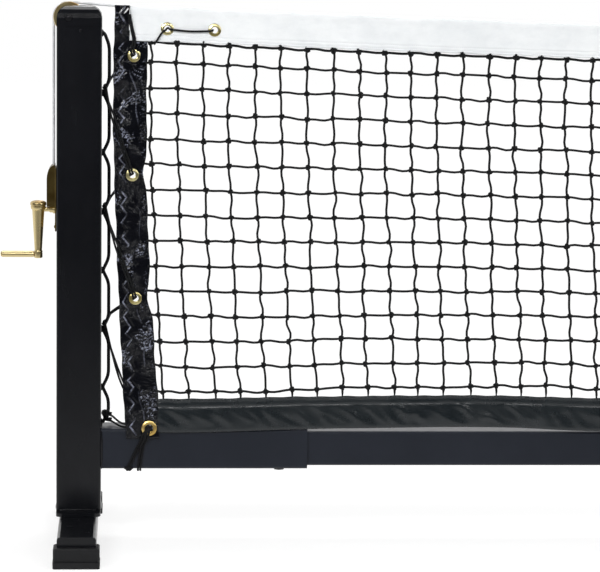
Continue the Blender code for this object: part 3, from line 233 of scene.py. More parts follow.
# eyelets as (distance inward from the post's face, height)
SIDE_GROMMETS = [(54.2 * MM, 836 * MM), (52.1 * MM, 633.6 * MM), (58.2 * MM, 422.8 * MM)]
CORNER_GROMMET = (82.6 * MM, 199.5 * MM)
HEADBAND_GROMMETS = [(110.6 * MM, 881.6 * MM), (191 * MM, 880.1 * MM)]
STRETCH = 850 * MM              # length over which the net takes up an end frame's slide
CELL = 44.4 * MM                # one mesh, which sets the puckers of both bands
LEAN = math.atan(NET_LEAN / (NET_TOP - NET_BOTTOM))
NET_NORMAL = Matrix.Rotation(-math.pi / 2 - LEAN, 3, "X")
FROM_NEAR = Matrix.Rotation(math.pi / 2, 3, "X")        # turned pieces that point along -Y
OUTWARDS = Matrix.Rotation(-math.pi / 2, 3, "Y")        # and along -X


def place(side, outward, y=0.0, z=0.0):
    """A point by its distance outward from the inner face of the post on that side."""
    return Vector((side * (HALF + outward) + CENTRE_X, y, z))


def side_name(side):
    """The word for a side, -1 or 1."""
    return "left" if side < 0 else "right"


def mm(*rows):
    """Rows of numbers given in millimetres, in metres."""
    return [tuple(value * MM for value in row) for row in rows]


def smooth(low, high, value):
    """0 below low, 1 above high and an even rise between them."""
    t = min(1.0, max(0.0, (value - low) / (high - low)))
    return t * t * (3 - 2 * t)


def hump(value, middle, reach):
    """1 at the middle, falling away to both sides."""
    return math.exp(-((value - middle) / reach) ** 2)


def noise_at(*where):
    """Blender's own noise at a point, about -1 to 1."""
    return noise.noise(Vector(where))


def net_top(x):
    """Height of the headband's fold, which sags to the middle of the net."""
    return NET_TOP - (NET_TOP - NET_CENTRE) * (1 - (x / HALF) ** 2)


def net_y(z):
    """The net leans: its foot hangs in front of the posts' centre."""
    return -NET_LEAN * (NET_TOP - z) / (NET_TOP - NET_BOTTOM)


def band_edge(z):
    """From the post's face to the side band, which the lacing draws in towards its foot."""
    bend = 720 * MM
    if z > bend:
        return (19 + 2.5 * ((z - bend) / (NET_TOP - bend)) ** 2) * MM
    drop = (bend - z) / (bend - BAND_BOTTOM)
    return (19 + 14 * drop + 10 * drop ** 2) * MM


def band_pull(z):
    """How far the twine has drawn the side band's inner edge outward at a height."""
    z_mm = z / MM
    pull = 5.5 * hump(z_mm, 633, 24) + 6.0 * hump(z_mm, 425, 27) - 1.6 * hump(z_mm, 256, 40)
    return (pull + 2.2 * smooth(690, 640, z_mm) * smooth(380, 440, z_mm)) * MM


def net_edge(z):
    """From mid-net to the side band's inner edge."""
    return HALF - band_edge(z) - BAND_WIDTH - 0.6 * MM


# ------------------------------------------------------------------ node helpers for materials
class Nodes:
    """A small builder round one material's node tree."""

    def __init__(self, name):
        self.material = bpy.data.materials.new(name)
        self.material.use_nodes = True
        self.tree = self.material.node_tree
        self.shader = self.tree.nodes["Principled BSDF"]

    def put(self, socket, value):
        """Sets a socket to a number or a colour, or links it to another socket."""
        if isinstance(value, bpy.types.NodeSocket):
            self.tree.links.new(value, socket)
        elif socket.type == "RGBA" and len(value) == 3:
            socket.default_value = (*value, 1.0)
        else:
            socket.default_value = value

    def add(self, kind, **values):
        """A node. Each value goes to the setting of that name, or else to the input."""
        node = self.tree.nodes.new(kind)
        for key, value in values.items():
            if hasattr(node, key):
                setattr(node, key, value)
            else:
                self.put(node.inputs[key.replace("_", " ")], value)
        return node

    def set(self, **values):
        for key, value in values.items():
            self.put(self.shader.inputs[key.replace("_", " ")], value)

    def coords(self, kind="Object", scale=(1, 1, 1)):
        source = self.add("ShaderNodeTexCoord").outputs[kind]
        return self.add("ShaderNodeMapping", Vector=source, Scale=scale).outputs["Vector"]

    def noise(self, vector, scale, detail=3.0, roughness=0.5, distortion=0.0):
        return self.add("ShaderNodeTexNoise", Vector=vector, Scale=scale, Detail=detail,
                        Roughness=roughness, Distortion=distortion).outputs["Fac"]

    def ramp(self, value, stops):
        node = self.add("ShaderNodeValToRGB", Fac=value)
        node.color_ramp.interpolation = "EASE"
        while len(node.color_ramp.elements) < len(stops):
            node.color_ramp.elements.new(0.5)
        for element, (position, colour) in zip(node.color_ramp.elements, stops):
            element.position = position
            element.color = (*colour, 1.0)
        return node.outputs["Color"]

    def mottle(self, value, dark, light, low=0.3, high=0.7):
        """Two colours that run into each other over a noise."""
        return self.ramp(value, [(low, dark), (high, light)])

    def math(self, operation, *values, clamp=False):
        node = self.add("ShaderNodeMath", operation=operation, use_clamp=clamp)
        for socket, value in zip(node.inputs, values):
            self.put(socket, value)
        return node.outputs[0]

    def range(self, value, low, high, to_low, to_high):
        return self.add("ShaderNodeMapRange", Value=value, From_Min=low, From_Max=high,
                        To_Min=to_low, To_Max=to_high).outputs["Result"]

    def mix(self, factor, first, second, blend="MIX"):
        node = self.add("ShaderNodeMix", data_type="RGBA", blend_type=blend)
        for key, value in (("Factor", factor), ("A", first), ("B", second)):
            self.put(node.inputs[key], value)
        return node.outputs["Result"]

    def bump(self, height, strength, distance, normal=None):
        node = self.add("ShaderNodeBump", Height=height, Strength=strength, Distance=distance)
        if normal is not None:
            self.put(node.inputs["Normal"], normal)
        return node.outputs["Normal"]

    def split(self, vector):
        return self.add("ShaderNodeSeparateXYZ", Vector=vector).outputs


def powder_coat(name, low, high, rough=0.20):
    """Satin black powder coat: orange peel, dust and faint rubbed patches."""
    n = Nodes(name)
    where = n.coords()
    peel = n.noise(where, 420, 2)
    broad = n.noise(where, 9, 4, 0.6)
    scuff = n.noise(n.coords(scale=(1, 1, 0.25)), 60, 5, 0.7, 0.4)
    dust = n.ramp(n.noise(where, 900, 1), [(0.0, (0, 0, 0)), (0.72, (0, 0, 0)), (0.82, (1, 1, 1))])
    dusty = n.math("MULTIPLY", dust, 0.06)
    n.set(Base_Color=n.mottle(broad, low, high, 0.35, 0.65),
          Roughness=n.math("ADD", n.range(scuff, 0.35, 0.7, rough, rough + 0.08), dusty),
          Specular_IOR_Level=0.30,
          Normal=n.bump(peel, 0.03, 0.0003, n.bump(broad, 0.04, 0.003)))
    return n.material


def brass(name, low, high, rough):
    """Polished brass with fine turning lines and warmer tarnish in patches."""
    n = Nodes(name)
    where = n.coords()
    tarnish = n.noise(where, 28, 2, 0.45)
    fine = n.noise(n.coords(scale=(0.15, 0.15, 1)), 900, 1)
    n.set(Base_Color=n.ramp(tarnish, [(0.30, low), (0.58, high), (0.8, high)]),
          Metallic=1.0, Roughness=n.range(tarnish, 0.3, 0.7, rough + 0.06, rough),
          Normal=n.bump(fine, 0.012, 0.0001))
    return n.material


def crumpled_vinyl():
    """Glossy black vinyl of the side bands. The folds are geometry; this adds the fine crush, and a painted highlight:
    pale blue-grey colour along the sharpest creases.
    """
    n = Nodes("crumpled_vinyl")
    where = n.coords()
    crush = n.noise(n.coords(scale=(1, 1, 0.8)), 150, 3, 0.6, 1.2)
    grain = n.noise(where, 1500, 1)
    ridge = n.math("ABSOLUTE", n.math("SUBTRACT", crush, 0.5))
    ridge = n.math("SUBTRACT", 1.0, n.math("MULTIPLY", ridge, 7.0), clamp=True)
    patch = n.range(n.noise(where, 26, 2), 0.46, 0.60, 0.0, 1.0)
    ridge = n.math("MULTIPLY", n.math("POWER", ridge, 3.0), patch)
    worn = n.noise(where, 30, 4, 0.6)
    # painted highlight: how strongly each point of the crease lines is painted pale, carried in by the second UV
    wear = n.split(n.add("ShaderNodeUVMap", uv_map="Wear").outputs["UV"])[0]
    glint = n.range(n.noise(where, 260, 2, 0.6), 0.40, 0.56, 0.25, 1.0)
    black = n.mottle(worn, (0.0024, 0.0026, 0.0040), (0.0044, 0.0047, 0.0066))
    # painted highlight: where that mask and the glint noise meet, the base colour turns pale blue-grey instead of
    # black
    n.set(Base_Color=n.mix(n.math("MULTIPLY", wear, glint, clamp=True), black, (0.30, 0.32, 0.41)),
          Roughness=n.range(worn, 0.3, 0.7, 0.08, 0.14), Specular_IOR_Level=0.30,
          Normal=n.bump(ridge, 0.55, 0.0012, n.bump(grain, 0.05, 0.0002)))
    return n.material


def seam(n, parts, rows, pitch, reach):
    """Rows of stitches at distances across (V), one each pitch along (U): the thread, and how far
    from the nearest row, within reach, for the cloth that it draws in."""
    dash = n.math("GREATER_THAN", n.math("PINGPONG", parts[0], pitch / 2), pitch * 0.11)
    thread = dent = None
    for row in rows:
        near = n.math("ABSOLUTE", n.math("SUBTRACT", parts[1], row))
        line = n.math("MULTIPLY", n.math("LESS_THAN", near, 0.45 * MM), dash)
        well = n.range(near, 0.0, reach, 0.0, 1.0)
        thread = n.math("MAXIMUM", thread, line) if thread else line
        dent = n.math("MINIMUM", dent, well) if dent else well
    return thread, dent


def weave(n, parts, warp, weft):
    """The height of a plain weave with its threads that far apart."""
    return n.math("MULTIPLY", n.math("SINE", n.math("MULTIPLY", parts[0], math.tau / warp)),
                  n.math("SINE", n.math("MULTIPLY", parts[1], math.tau / weft)))


def white_vinyl():
    """Coated polyester of the headband: fine weave under the coating, stitched hem."""
    n = Nodes("headband_vinyl")
    parts = n.split(n.coords("UV"))
    cloud = n.noise(n.coords(), 12, 4, 0.6)
    smudge = n.noise(n.coords(scale=(1, 1, 2)), 45, 4, 0.7, 0.5)
    thread, dent = seam(n, parts, (0.0045, 0.0105), 0.0036, 0.0022)
    grime = n.math("ADD", n.math("MULTIPLY", thread, 0.30),
                   n.range(smudge, 0.45, 0.75, 0.0, 0.14), clamp=True)
    white = n.mottle(cloud, (0.690, 0.712, 0.725), (0.755, 0.772, 0.780))
    normal = n.bump(dent, 0.5, 0.0008, n.bump(cloud, 0.15, 0.004))
    n.set(Base_Color=n.mix(grime, white, (0.60, 0.62, 0.65), "MULTIPLY"),
          Roughness=n.range(smudge, 0.3, 0.7, 0.40, 0.55),
          Normal=n.bump(weave(n, parts, 0.0014, 0.0014), 0.10, 0.0002, normal), Sheen_Weight=0.05)
    return n.material


def black_satin():
    """Soft black coated cloth of the bottom band, with two stitch rows under its top edge."""
    n = Nodes("bottom_band_vinyl")
    where = n.coords()
    cloud = n.noise(where, 14, 4, 0.6)
    grain = n.noise(where, 1300, 2)
    thread, dent = seam(n, n.split(n.coords("UV")), (0.0535, 0.0445), 0.0040, 0.0025)
    black = n.mottle(cloud, (0.0062, 0.0095, 0.0118), (0.0096, 0.0132, 0.0156))
    n.set(Base_Color=n.mix(n.math("MULTIPLY", thread, 0.35), black, (0.040, 0.042, 0.046)),
          Roughness=n.range(cloud, 0.3, 0.7, 0.22, 0.32),
          Normal=n.bump(grain, 0.06, 0.0002, n.bump(dent, 0.6, 0.0009)), Sheen_Weight=0.05)
    return n.material


def cord_material(name, colour, scale=1.0):
    """Laid or braided black cord: strands, fuzz and a dusty sheen."""
    n = Nodes(name)
    where = n.coords()
    strand = n.noise(where, 1100 * scale, 2)
    wear = n.noise(where, 40, 3)
    light = tuple(min(1.0, 1.7 * c) for c in colour)
    n.set(Base_Color=n.mottle(wear, colour, light, 0.35, 0.75), Roughness=0.55,
          Specular_IOR_Level=0.18, Normal=n.bump(strand, 0.5, 0.0004), Sheen_Weight=0.02,
          Sheen_Roughness=0.5)
    return n.material


def coated_cable():
    """The headband cable's white coat, with the lay of the strands showing through."""
    n = Nodes("coated_cable")
    where = n.coords()
    wear = n.noise(where, 60, 4, 0.6)
    lay = n.noise(n.coords(scale=(1, 1, 0.35)), 700, 1)
    n.set(Base_Color=n.mottle(wear, (0.52, 0.53, 0.55), (0.68, 0.69, 0.70)),
          Roughness=0.35, Normal=n.bump(lay, 0.25, 0.0004), Coat_Weight=0.3)
    return n.material


def rubber():
    """Moulded rubber, dull and a little dusty."""
    n = Nodes("moulded_rubber")
    where = n.coords()
    mottled = n.noise(where, 90, 4, 0.6)
    dust = n.noise(where, 500, 3)
    n.set(Base_Color=n.mottle(mottled, (0.0048, 0.0050, 0.0058), (0.0080, 0.0083, 0.0095)),
          Roughness=n.range(dust, 0.3, 0.7, 0.42, 0.58), Specular_IOR_Level=0.28,
          Normal=n.bump(dust, 0.10, 0.0004))
    return n.material


def steel(name, colour, metallic, rough):
    """Plain steel, plated or black."""
    n = Nodes(name)
    patch = n.noise(n.coords(), 160, 4, 0.6)
    light = tuple(min(1.0, 1.35 * c) for c in colour)
    n.set(Base_Color=n.mottle(patch, colour, light), Metallic=metallic,
          Roughness=n.range(patch, 0.3, 0.7, rough, rough + 0.15),
          Normal=n.bump(patch, 0.1, 0.0004))
    return n.material


def webbing():
    """The centre strap's white woven webbing."""
    n = Nodes("strap_webbing")
    weft = weave(n, n.split(n.coords("UV")), 0.0024, 0.0018)
    cloud = n.noise(n.coords(), 60, 3)
    n.set(Base_Color=n.mottle(cloud, (0.66, 0.67, 0.68), (0.80, 0.80, 0.80)),
          Roughness=0.75, Normal=n.bump(weft, 0.6, 0.0005), Sheen_Weight=0.2)
    return n.material


POWDER = powder_coat("powder_coat", (0.0042, 0.0046, 0.0060), (0.0056, 0.0060, 0.0078))
BLUE_BLACK = powder_coat("blue_black_coat", (0.0080, 0.0105, 0.0175), (0.0102, 0.0130, 0.0210),
                         0.34)
BRASS = brass("polished_brass", (0.46, 0.29, 0.11), (0.80, 0.66, 0.35), 0.27)
GOLD_BRASS = brass("corner_brass", (0.55, 0.36, 0.10), (0.82, 0.60, 0.22), 0.30)
PALE_BRASS = brass("eyelet_brass", (0.44, 0.36, 0.13), (0.74, 0.66, 0.34), 0.26)
# brass made darker for the winch's frame, cover and rivets
DARK_BRASS = brass("darker_brass", (0.10, 0.065, 0.018), (0.22, 0.16, 0.055), 0.30)
VINYL = crumpled_vinyl()
WHITE = white_vinyl()
SATIN = black_satin()
TWINE = cord_material("net_twine", (0.0040, 0.0042, 0.0048))
CORD = cord_material("lacing_rope", (0.0034, 0.0036, 0.0042), 0.8)
CABLE = coated_cable()
RUBBER = rubber()
BLACK_STEEL = steel("black_oxide_steel", (0.010, 0.010, 0.012), 0.7, 0.28)
ZINC = steel("zinc_plated_steel", (0.45, 0.46, 0.48), 1.0, 0.28)
WEBBING = webbing()


# ------------------------------------------------------------------ mesh helpers
def add_object(name, data, material=None, body=None):
    """An object in the scene, which rides on a body if one is named."""
    made = bpy.data.objects.new(name, data)
    bpy.context.scene.collection.objects.link(made)
    if material:
        data.materials.append(material)
    if body:
        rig.ride(made, body)
    return made


def add_uv(mesh, name, places):
    """A UV layer from one pair of numbers for each vertex."""
    layer = mesh.uv_layers.new(name=name)
    index = np.empty(len(mesh.loops), np.int32)
    mesh.loops.foreach_get("vertex_index", index)
    layer.data.foreach_set("uv", np.asarray(places, np.float32)[index].ravel())


def sheet_object(name, verts, faces, material, uv, wear=None):
    """A smooth open sheet with no loose points and its faces all one way."""
    mesh = bpy.data.meshes.new(name)
    mesh.from_pydata([tuple(v) for v in verts], [], faces)
    mesh.update()
    mesh.shade_smooth()
    add_uv(mesh, "UVMap", uv)
    # an optional second UV: how strongly each point gets the painted highlight of the side band's creases
    if wear:
        add_uv(mesh, "Wear", wear)
    bm = bmesh.new()
    bm.from_mesh(mesh)
    bmesh.ops.delete(bm, geom=[v for v in bm.verts if not v.link_faces], context="VERTS")
    bmesh.ops.recalc_face_normals(bm, faces=bm.faces)
    bm.to_mesh(mesh)
    bm.free()
    return add_object(name, mesh, material)


def grid_faces(rows, columns):
    """Quads of a grid whose points run along its rows of columns + 1."""
    width = columns + 1
    return [(a, a + 1, a + width + 1, a + width)
            for a in (j * width + i for j in range(rows) for i in range(columns))]


def thicken(made, thickness):
    """Gives a sheet its thickness."""
    solidify = made.modifiers.new("thickness", "SOLIDIFY")
    solidify.thickness = thickness
    solidify.offset = 0


def apply_modifiers(made):
    """Makes the modifiers' result the object's own mesh."""
    graph = bpy.context.evaluated_depsgraph_get()
    made.data = bpy.data.meshes.new_from_object(made.evaluated_get(graph))
    made.modifiers.clear()
    made.data.shade_smooth()


def lathe(name, profile, centre, axis, material, steps=48, body=None, sharp=35):
    """A turned piece. profile is (radius, along) from one end to the other, or a closed ring."""
    closed = profile[0][0] > 0 and profile[-1][0] > 0
    turns = {"Y": Matrix.Rotation(-math.pi / 2, 3, "X"), "Z": Matrix.Identity(3)}
    turn = turns[axis] if isinstance(axis, str) else axis
    bm = bmesh.new()
    rings = []
    for radius, along in profile:
        ring = []
        for step in range(steps if radius else 1):
            angle = math.tau * step / steps
            point = Vector((radius * math.cos(angle), radius * math.sin(angle), along))
            ring.append(bm.verts.new(turn @ point + Vector(centre)))
        rings.append(ring)
    pairs = list(zip(rings, rings[1:]))
    if closed:
        pairs.append((rings[-1], rings[0]))
    for low, high in pairs:
        for k in range(steps):
            j = (k + 1) % steps
            if len(low) == 1:
                bm.faces.new((low[0], high[j], high[k]))
            elif len(high) == 1:
                bm.faces.new((low[k], low[j], high[0]))
            else:
                bm.faces.new((low[k], low[j], high[j], high[k]))
    bmesh.ops.recalc_face_normals(bm, faces=bm.faces)
    mesh = bpy.data.meshes.new(name)
    bm.to_mesh(mesh)
    bm.free()
    mesh.shade_smooth()
    mesh.set_sharp_from_angle(angle=math.radians(sharp))
    return add_object(name, mesh, material, body)


def catmull(waypoints, parts=4):
    """A smooth route through waypoints, with that many points for each."""
    points = [Vector(p) for p in waypoints]
    padded = [2 * points[0] - points[1], *points, 2 * points[-1] - points[-2]]
    route = []
    for before, start, end, after in zip(padded, padded[1:], padded[2:], padded[3:]):
        for step in range(parts):
            t = step / parts
            route.append(0.5 * (2 * start + (end - before) * t
                                + (2 * before - 5 * start + 4 * end - after) * t ** 2
                                + (3 * start - before - 3 * end + after) * t ** 3))
    route.append(points[-1])
    return route


def route_length(points):
    """The length of a cord laid through points."""
    return sum((b - a).length for a, b in zip(points, points[1:]))


def rope(name, points, radius, material, body=None, resolution=3):
    """A round cord along points, as one open spline."""
    curve = bpy.data.curves.new(name, "CURVE")
    curve.dimensions = "3D"
    curve.bevel_depth = radius
    curve.bevel_resolution = resolution
    curve.use_fill_caps = True
    spline = curve.splines.new("POLY")
    spline.points.add(len(points) - 1)
    for spot, point in zip(spline.points, points):
        spot.co = (*point, 1.0)
    spline.use_smooth = True
    return add_object(name, curve, material, body)


def tube_arrays(points, radius, sides, across):
    """Vertices and quads of a tube along points; across is a direction square to the whole run."""
    points = np.asarray(points, float)
    ahead = np.gradient(points, axis=0)
    ahead /= np.linalg.norm(ahead, axis=1)[:, None]
    across = np.asarray(across, float)
    second = np.cross(ahead, across)
    second /= np.linalg.norm(second, axis=1)[:, None]
    first = np.cross(second, ahead)
    angle = np.arange(sides) * math.tau / sides
    radius = np.broadcast_to(np.asarray(radius, float), (len(points),))
    verts = (points[:, None] + radius[:, None, None]
             * (first[:, None] * np.cos(angle)[None, :, None]
                + second[:, None] * np.sin(angle)[None, :, None])).reshape(-1, 3)
    count = len(points)
    i = np.arange(count - 1)[:, None] * sides
    k = np.arange(sides)[None]
    nxt = (k + 1) % sides
    quads = np.stack([i + k, i + nxt, i + sides + nxt, i + sides + k], -1).reshape(-1, 4)
    return verts, quads


def join_arrays(chunks):
    """Several pieces of (verts, faces) as one."""
    verts, faces, base = [], [], 0
    for v, f in chunks:
        verts.append(v)
        faces.append(f + base)
        base += len(v)
    return np.concatenate(verts), np.concatenate(faces)


def array_object(name, verts, quads, material):
    """A mesh object straight from arrays, fast for many thousand faces."""
    mesh = bpy.data.meshes.new(name)
    mesh.vertices.add(len(verts))
    mesh.vertices.foreach_set("co", np.asarray(verts, np.float32).ravel())
    mesh.loops.add(quads.size)
    mesh.loops.foreach_set("vertex_index", np.asarray(quads, np.int32).ravel())
    mesh.polygons.add(len(quads))
    mesh.polygons.foreach_set("loop_start", np.arange(len(quads), dtype=np.int32) * 4)
    mesh.update(calc_edges=True)
    mesh.shade_smooth()
    return add_object(name, mesh, material)


def span_blend(piece, side):
    """Fabric between an end frame and the crossbar takes up the frame's slide along its length."""
    start = place(side, -HEADBAND_INSET)
    end = place(side, -(HEADBAND_INSET + STRETCH))
    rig.blend(piece, side_name(side) + "_frame", "crossbar", start, end)


# ------------------------------------------------------------------ camera, first
def camera():
    """The photograph's own view, solved from the post, the crossbar and the foot."""
    data = bpy.data.cameras.new("photo_camera")
    data.sensor_width = 36
    data.lens = data.sensor_width * 2874 / 600      # 2874 pixels in a picture 600 wide
    data.clip_end = 200
    made = add_object("photo_camera", data)
    yaw, pitch, roll = (math.radians(a) for a in (3.43, 7.19, 0.651))
    ahead = Vector((math.sin(yaw) * math.cos(pitch), math.cos(yaw) * math.cos(pitch),
                    -math.sin(pitch)))
    look = ahead.to_track_quat("-Z", "Y").to_matrix()
    made.location = (place(-1, POST / 2).x + 0.0855, -4.9071, 1.0619)
    made.rotation_euler = (look @ Matrix.Rotation(roll, 3, "Z")).to_euler()
    bpy.context.scene.camera = made


camera()


# ------------------------------------------------------------------ lacing cords and ties
CORD_RADIUS = 1.8 * MM
PAIR = 4.5 * MM                 # between the lacing's two strands


def through_eyelet(outward, height, aside):
    """From in front of the band, back through an eyelet's upper half and away behind."""
    y = net_y(height)
    lift = 2.4 * MM
    return [(-outward + 3.5 * MM + aside, y - 6.8 * MM, height + lift + 7 * MM),
            (-outward + 2.2 * MM + aside, y - 5.6 * MM, height + lift + 2.5 * MM),
            (-outward + 1.0 * MM + aside, y - 2.5 * MM, height + lift),
            (-outward + 1.0 * MM + aside, y + 2.5 * MM, height + lift),
            (-outward + 3.0 * MM + aside, y + 6.0 * MM, height + lift - 2.5 * MM),
            (-outward + 8.0 * MM + aside, y + 6.6 * MM, height + lift - 6 * MM)]


def round_bar(height, strand):
    """Down the slope of the bent bar beside a weld: in from behind, out in front."""
    turn = 4.9 * MM
    across, up = -1.5 * MM * strand, 3.4 * MM * strand
    return [(-17.5 * MM + across, 3.0 * MM, height + 27 * MM + up),
            (-12.4 * MM + across, turn, height + 18 * MM + up),
            (-7.6 * MM + across, turn, height + 12 * MM + up),
            (-7.1 * MM + turn + across, 0, height + 9 * MM + up),
            (-6.0 * MM + across, -turn, height + 5 * MM + up),
            (-6.0 * MM + 1.5 * across, -turn - 0.3 * MM, height - 1 * MM + up)]


def lacing_route(strand):
    """One of the lacing's two strands, from the headband's corner to the foot of the bar."""
    aside = (strand - 0.5) * PAIR
    route = [(-45.4 * MM + 0.6 * aside, -8.8 * MM - 0.2 * aside, 906 * MM),
             (-50.6 * MM + 0.6 * aside, -8.8 * MM, 881 * MM),
             (-54.6 * MM + 0.8 * aside, -9.0 * MM, 860 * MM)]
    welds = [BAR_FIRST - weld * BAR_PITCH for weld in (1, 3, 5)]
    for index, ((outward, height), weld) in enumerate(zip(SIDE_GROMMETS, welds)):
        route += through_eyelet(outward, height, aside)
        route += round_bar(weld, strand)
        if index == 2:
            break
        # straight down in front of the side band to the next eyelet
        below, low = SIDE_GROMMETS[index + 1]
        start = Vector((-6 * MM, weld - MM))
        end = Vector((-below + 3.5 * MM, low + 9.4 * MM))
        steps = [t / 40 for t in range(40)]
        meet = next(t for t in steps if -start.lerp(end, t).x
                    > band_edge(start.lerp(end, t).y) - 1.5 * MM)
        for share, front in ((meet, 4.6 * MM), (meet + 0.2, 5.6 * MM),
                             ((meet + 1.2) / 2, 6.0 * MM)):
            spot = start.lerp(end, share)
            route.append((spot.x + aside, net_y(spot.y) - front, spot.y))
    return route + corner_tie(strand)


def corner_tie(strand):
    """Behind the band to the corner eyelet, twice round the sleeve, then to the bar's foot."""
    top = BAR_AXIS + SLEEVE / 2
    low = BAR_AXIS - SLEEVE / 2
    face = SLEEVE / 2
    off = CORD_RADIUS + 0.3 * MM
    height = CORNER_GROMMET[1]
    y = net_y(height)
    aside = (strand - 0.5) * PAIR
    route = [(-33 * MM + aside, -22 * MM, 284 * MM), (-60 * MM + aside, -25 * MM, 232 * MM),
             (-80 * MM + aside, -28 * MM, 201 * MM)]
    # where each turn passes the eyelet, the sleeve's front, its underside and its back, inward
    for turn, passes in enumerate(((-84.6, -71, -48, -58), (-80.4, -77, -66, -70))):
        hole, down, under, back = [v * MM + 0.9 * aside for v in passes]
        route += [(hole, y + 3 * MM, height + 3 * MM), (hole, y - 2.5 * MM, height + 2.6 * MM),
                  (hole + 1.5 * MM, y - 6 * MM, height),
                  (down - 3 * MM, y - 5.6 * MM, height - 9 * MM),
                  (down, y - 4.8 * MM, height - 19 * MM),
                  (down + 6 * MM, -face - off, height - 32 * MM),
                  (under, -face - off, low + 4 * MM), (under, -face + MM, low - off),
                  (under, 0, low - off), (under - 3 * MM, face - MM, low - off),
                  (under - 4 * MM, face + off, low + 4 * MM), (back, face + off, top - 4 * MM),
                  (back, face - MM, top + off)]
        if turn == 0:
            route += [(back - 6 * MM, 0, top + off), (-76 * MM, -28 * MM, top + off)]
    across = (-24 + 15 * strand) * MM
    route += [(-62 * MM, across, top + off), (-36 * MM, across, top + off + 3 * MM * strand)]
    coil = 5.0 * MM
    rise = 5.0 * MM + 9.5 * MM * strand
    route += [(-19 * MM, coil, top + rise + MM)]
    for step in range(13):
        angle = math.pi / 2 - math.tau * step / 6
        route.append((-BAR_REACH - coil * math.cos(angle), coil * math.sin(angle),
                      top + rise + 2.5 * MM + 3.7 * MM * step / 6))
    return route


def knot(name, spot, size, body):
    """An overhand knot pulled tight."""
    verts, quads = knot_template()
    made = array_object(name, verts * np.array(size) + np.array(spot), quads, CORD)
    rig.ride(made, body)
    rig.slot(made, "black_cord")
    return made


def lacing(side):
    """The two cords that lace the side band to the bar on the post."""
    name = side_name(side)
    body = name + "_frame"
    low = BAR_AXIS - SLEEVE / 2
    tie = knot(name + "_sleeve_knot", place(side, -48 * MM, -SLEEVE / 2 - 2.8 * MM, low + MM),
               (1.9, 0.8, 0.8), body)
    foot = knot(name + "_bar_knot", place(side, -8 * MM, -6.4 * MM, BAR_END + 16 * MM),
                (1.7, 1.1, 2.2), body)
    for strand, pieces in ((0, [tie]), (1, [foot])):
        points = [place(side, *p) for p in catmull(lacing_route(strand))]
        piece = rope(f"{name}_lacing_{strand + 1}", points, CORD_RADIUS, CORD, body)
        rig.replaces(piece, name + "_lacing_cord")
        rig.cord(piece, exit=points[0], length=route_length(points), diameter=2 * CORD_RADIUS,
                far_end="object", stiffness="limp", lay="taut", with_pieces=pieces)
        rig.slot(piece, "black_cord")


def headband_ties(side):
    """The cord from the net's corner through the headband's two eyelets."""
    name = side_name(side)
    (first, first_height), (second, second_height) = HEADBAND_GROMMETS
    front = -6.4 * MM
    back = -front
    route = [(-88 * MM, front, 855 * MM), (-93 * MM, front, 862 * MM),
             (-first + 9 * MM, front, first_height - 6 * MM),
             (-first + 4 * MM, front - 0.4 * MM, first_height - 2.5 * MM),
             (-first + 2 * MM, front + 2 * MM, first_height - MM),
             (-first + MM, 0, first_height + 0.5 * MM),
             (-first - 1.5 * MM, 0.5 * back, first_height + 1.5 * MM),
             (-first - 3.2 * MM, 0, first_height), (-first - 3.2 * MM, 0.7 * front, first_height),
             (-first - 5 * MM, front - 0.4 * MM, first_height - 0.5 * MM),
             (-first - 12 * MM, front, first_height - 1.5 * MM),
             (-(first + second) / 2, front, (first_height + second_height) / 2 - 3 * MM),
             (-second + 9 * MM, front, second_height - 1.5 * MM),
             (-second + 4 * MM, front + 0.6 * MM, second_height - 0.5 * MM),
             (-second + 3 * MM, 0, second_height),
             (-second + 3 * MM, back + MM, second_height - 0.5 * MM),
             (-second + 6 * MM, back, second_height - 6 * MM),
             (-second + 8 * MM, back, second_height - 14 * MM)]
    leaned = [(outward, y + net_y(z), z) for outward, y, z in route]
    points = [place(side, *p) for p in catmull(leaned)]
    piece = to_mesh(rope(name + "_band_tie", points, CORD_RADIUS, CORD))
    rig.replaces(piece, name + "_headband_tie")
    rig.cord(piece, exit=points[0], length=route_length(points), diameter=2 * CORD_RADIUS,
            far_end="object", stiffness="limp", lay="taut", path=points)
    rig.slot(piece, "black_cord")
    span_blend(piece, side)


def to_mesh(curve):
    """A curve piece turned into a mesh one of the same name."""
    graph = bpy.context.evaluated_depsgraph_get()
    mesh = bpy.data.meshes.new_from_object(curve.evaluated_get(graph))
    name = curve.name
    bpy.data.objects.remove(curve)
    return add_object(name, mesh)


# ------------------------------------------------------------------ eyelets
def eyelet(name, spot, depth, radius, hole, node, side, body=None, finish=PALE_BRASS):
    """A rolled brass eyelet, square to the net's lean."""
    half = depth / 2
    lip = 1.25 * MM
    wall = 0.7 * MM
    rolled = [(radius, half + 0.05 * MM), (radius - 0.5 * MM, half + 0.35 * MM),
              (radius - 1.6 * MM, half + 0.75 * MM), (radius - 3.2 * MM, half + lip),
              (hole + 1.3 * MM, half + lip + 0.1 * MM), (hole + 0.4 * MM, half + lip - 0.3 * MM),
              (hole, half + 0.2 * MM)]
    ring = rolled + [(r, -along) for r, along in reversed(rolled)]
    ring += [(radius - 0.6 * MM, -half), (hole + wall, -half), (hole + wall, half),
             (radius - 0.6 * MM, half)]
    made = lathe(name, ring, spot, NET_NORMAL, finish, 40, body, sharp=50)
    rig.replaces(made, node)
    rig.slot(made, "polished_brass")
    if body is None:
        span_blend(made, side)


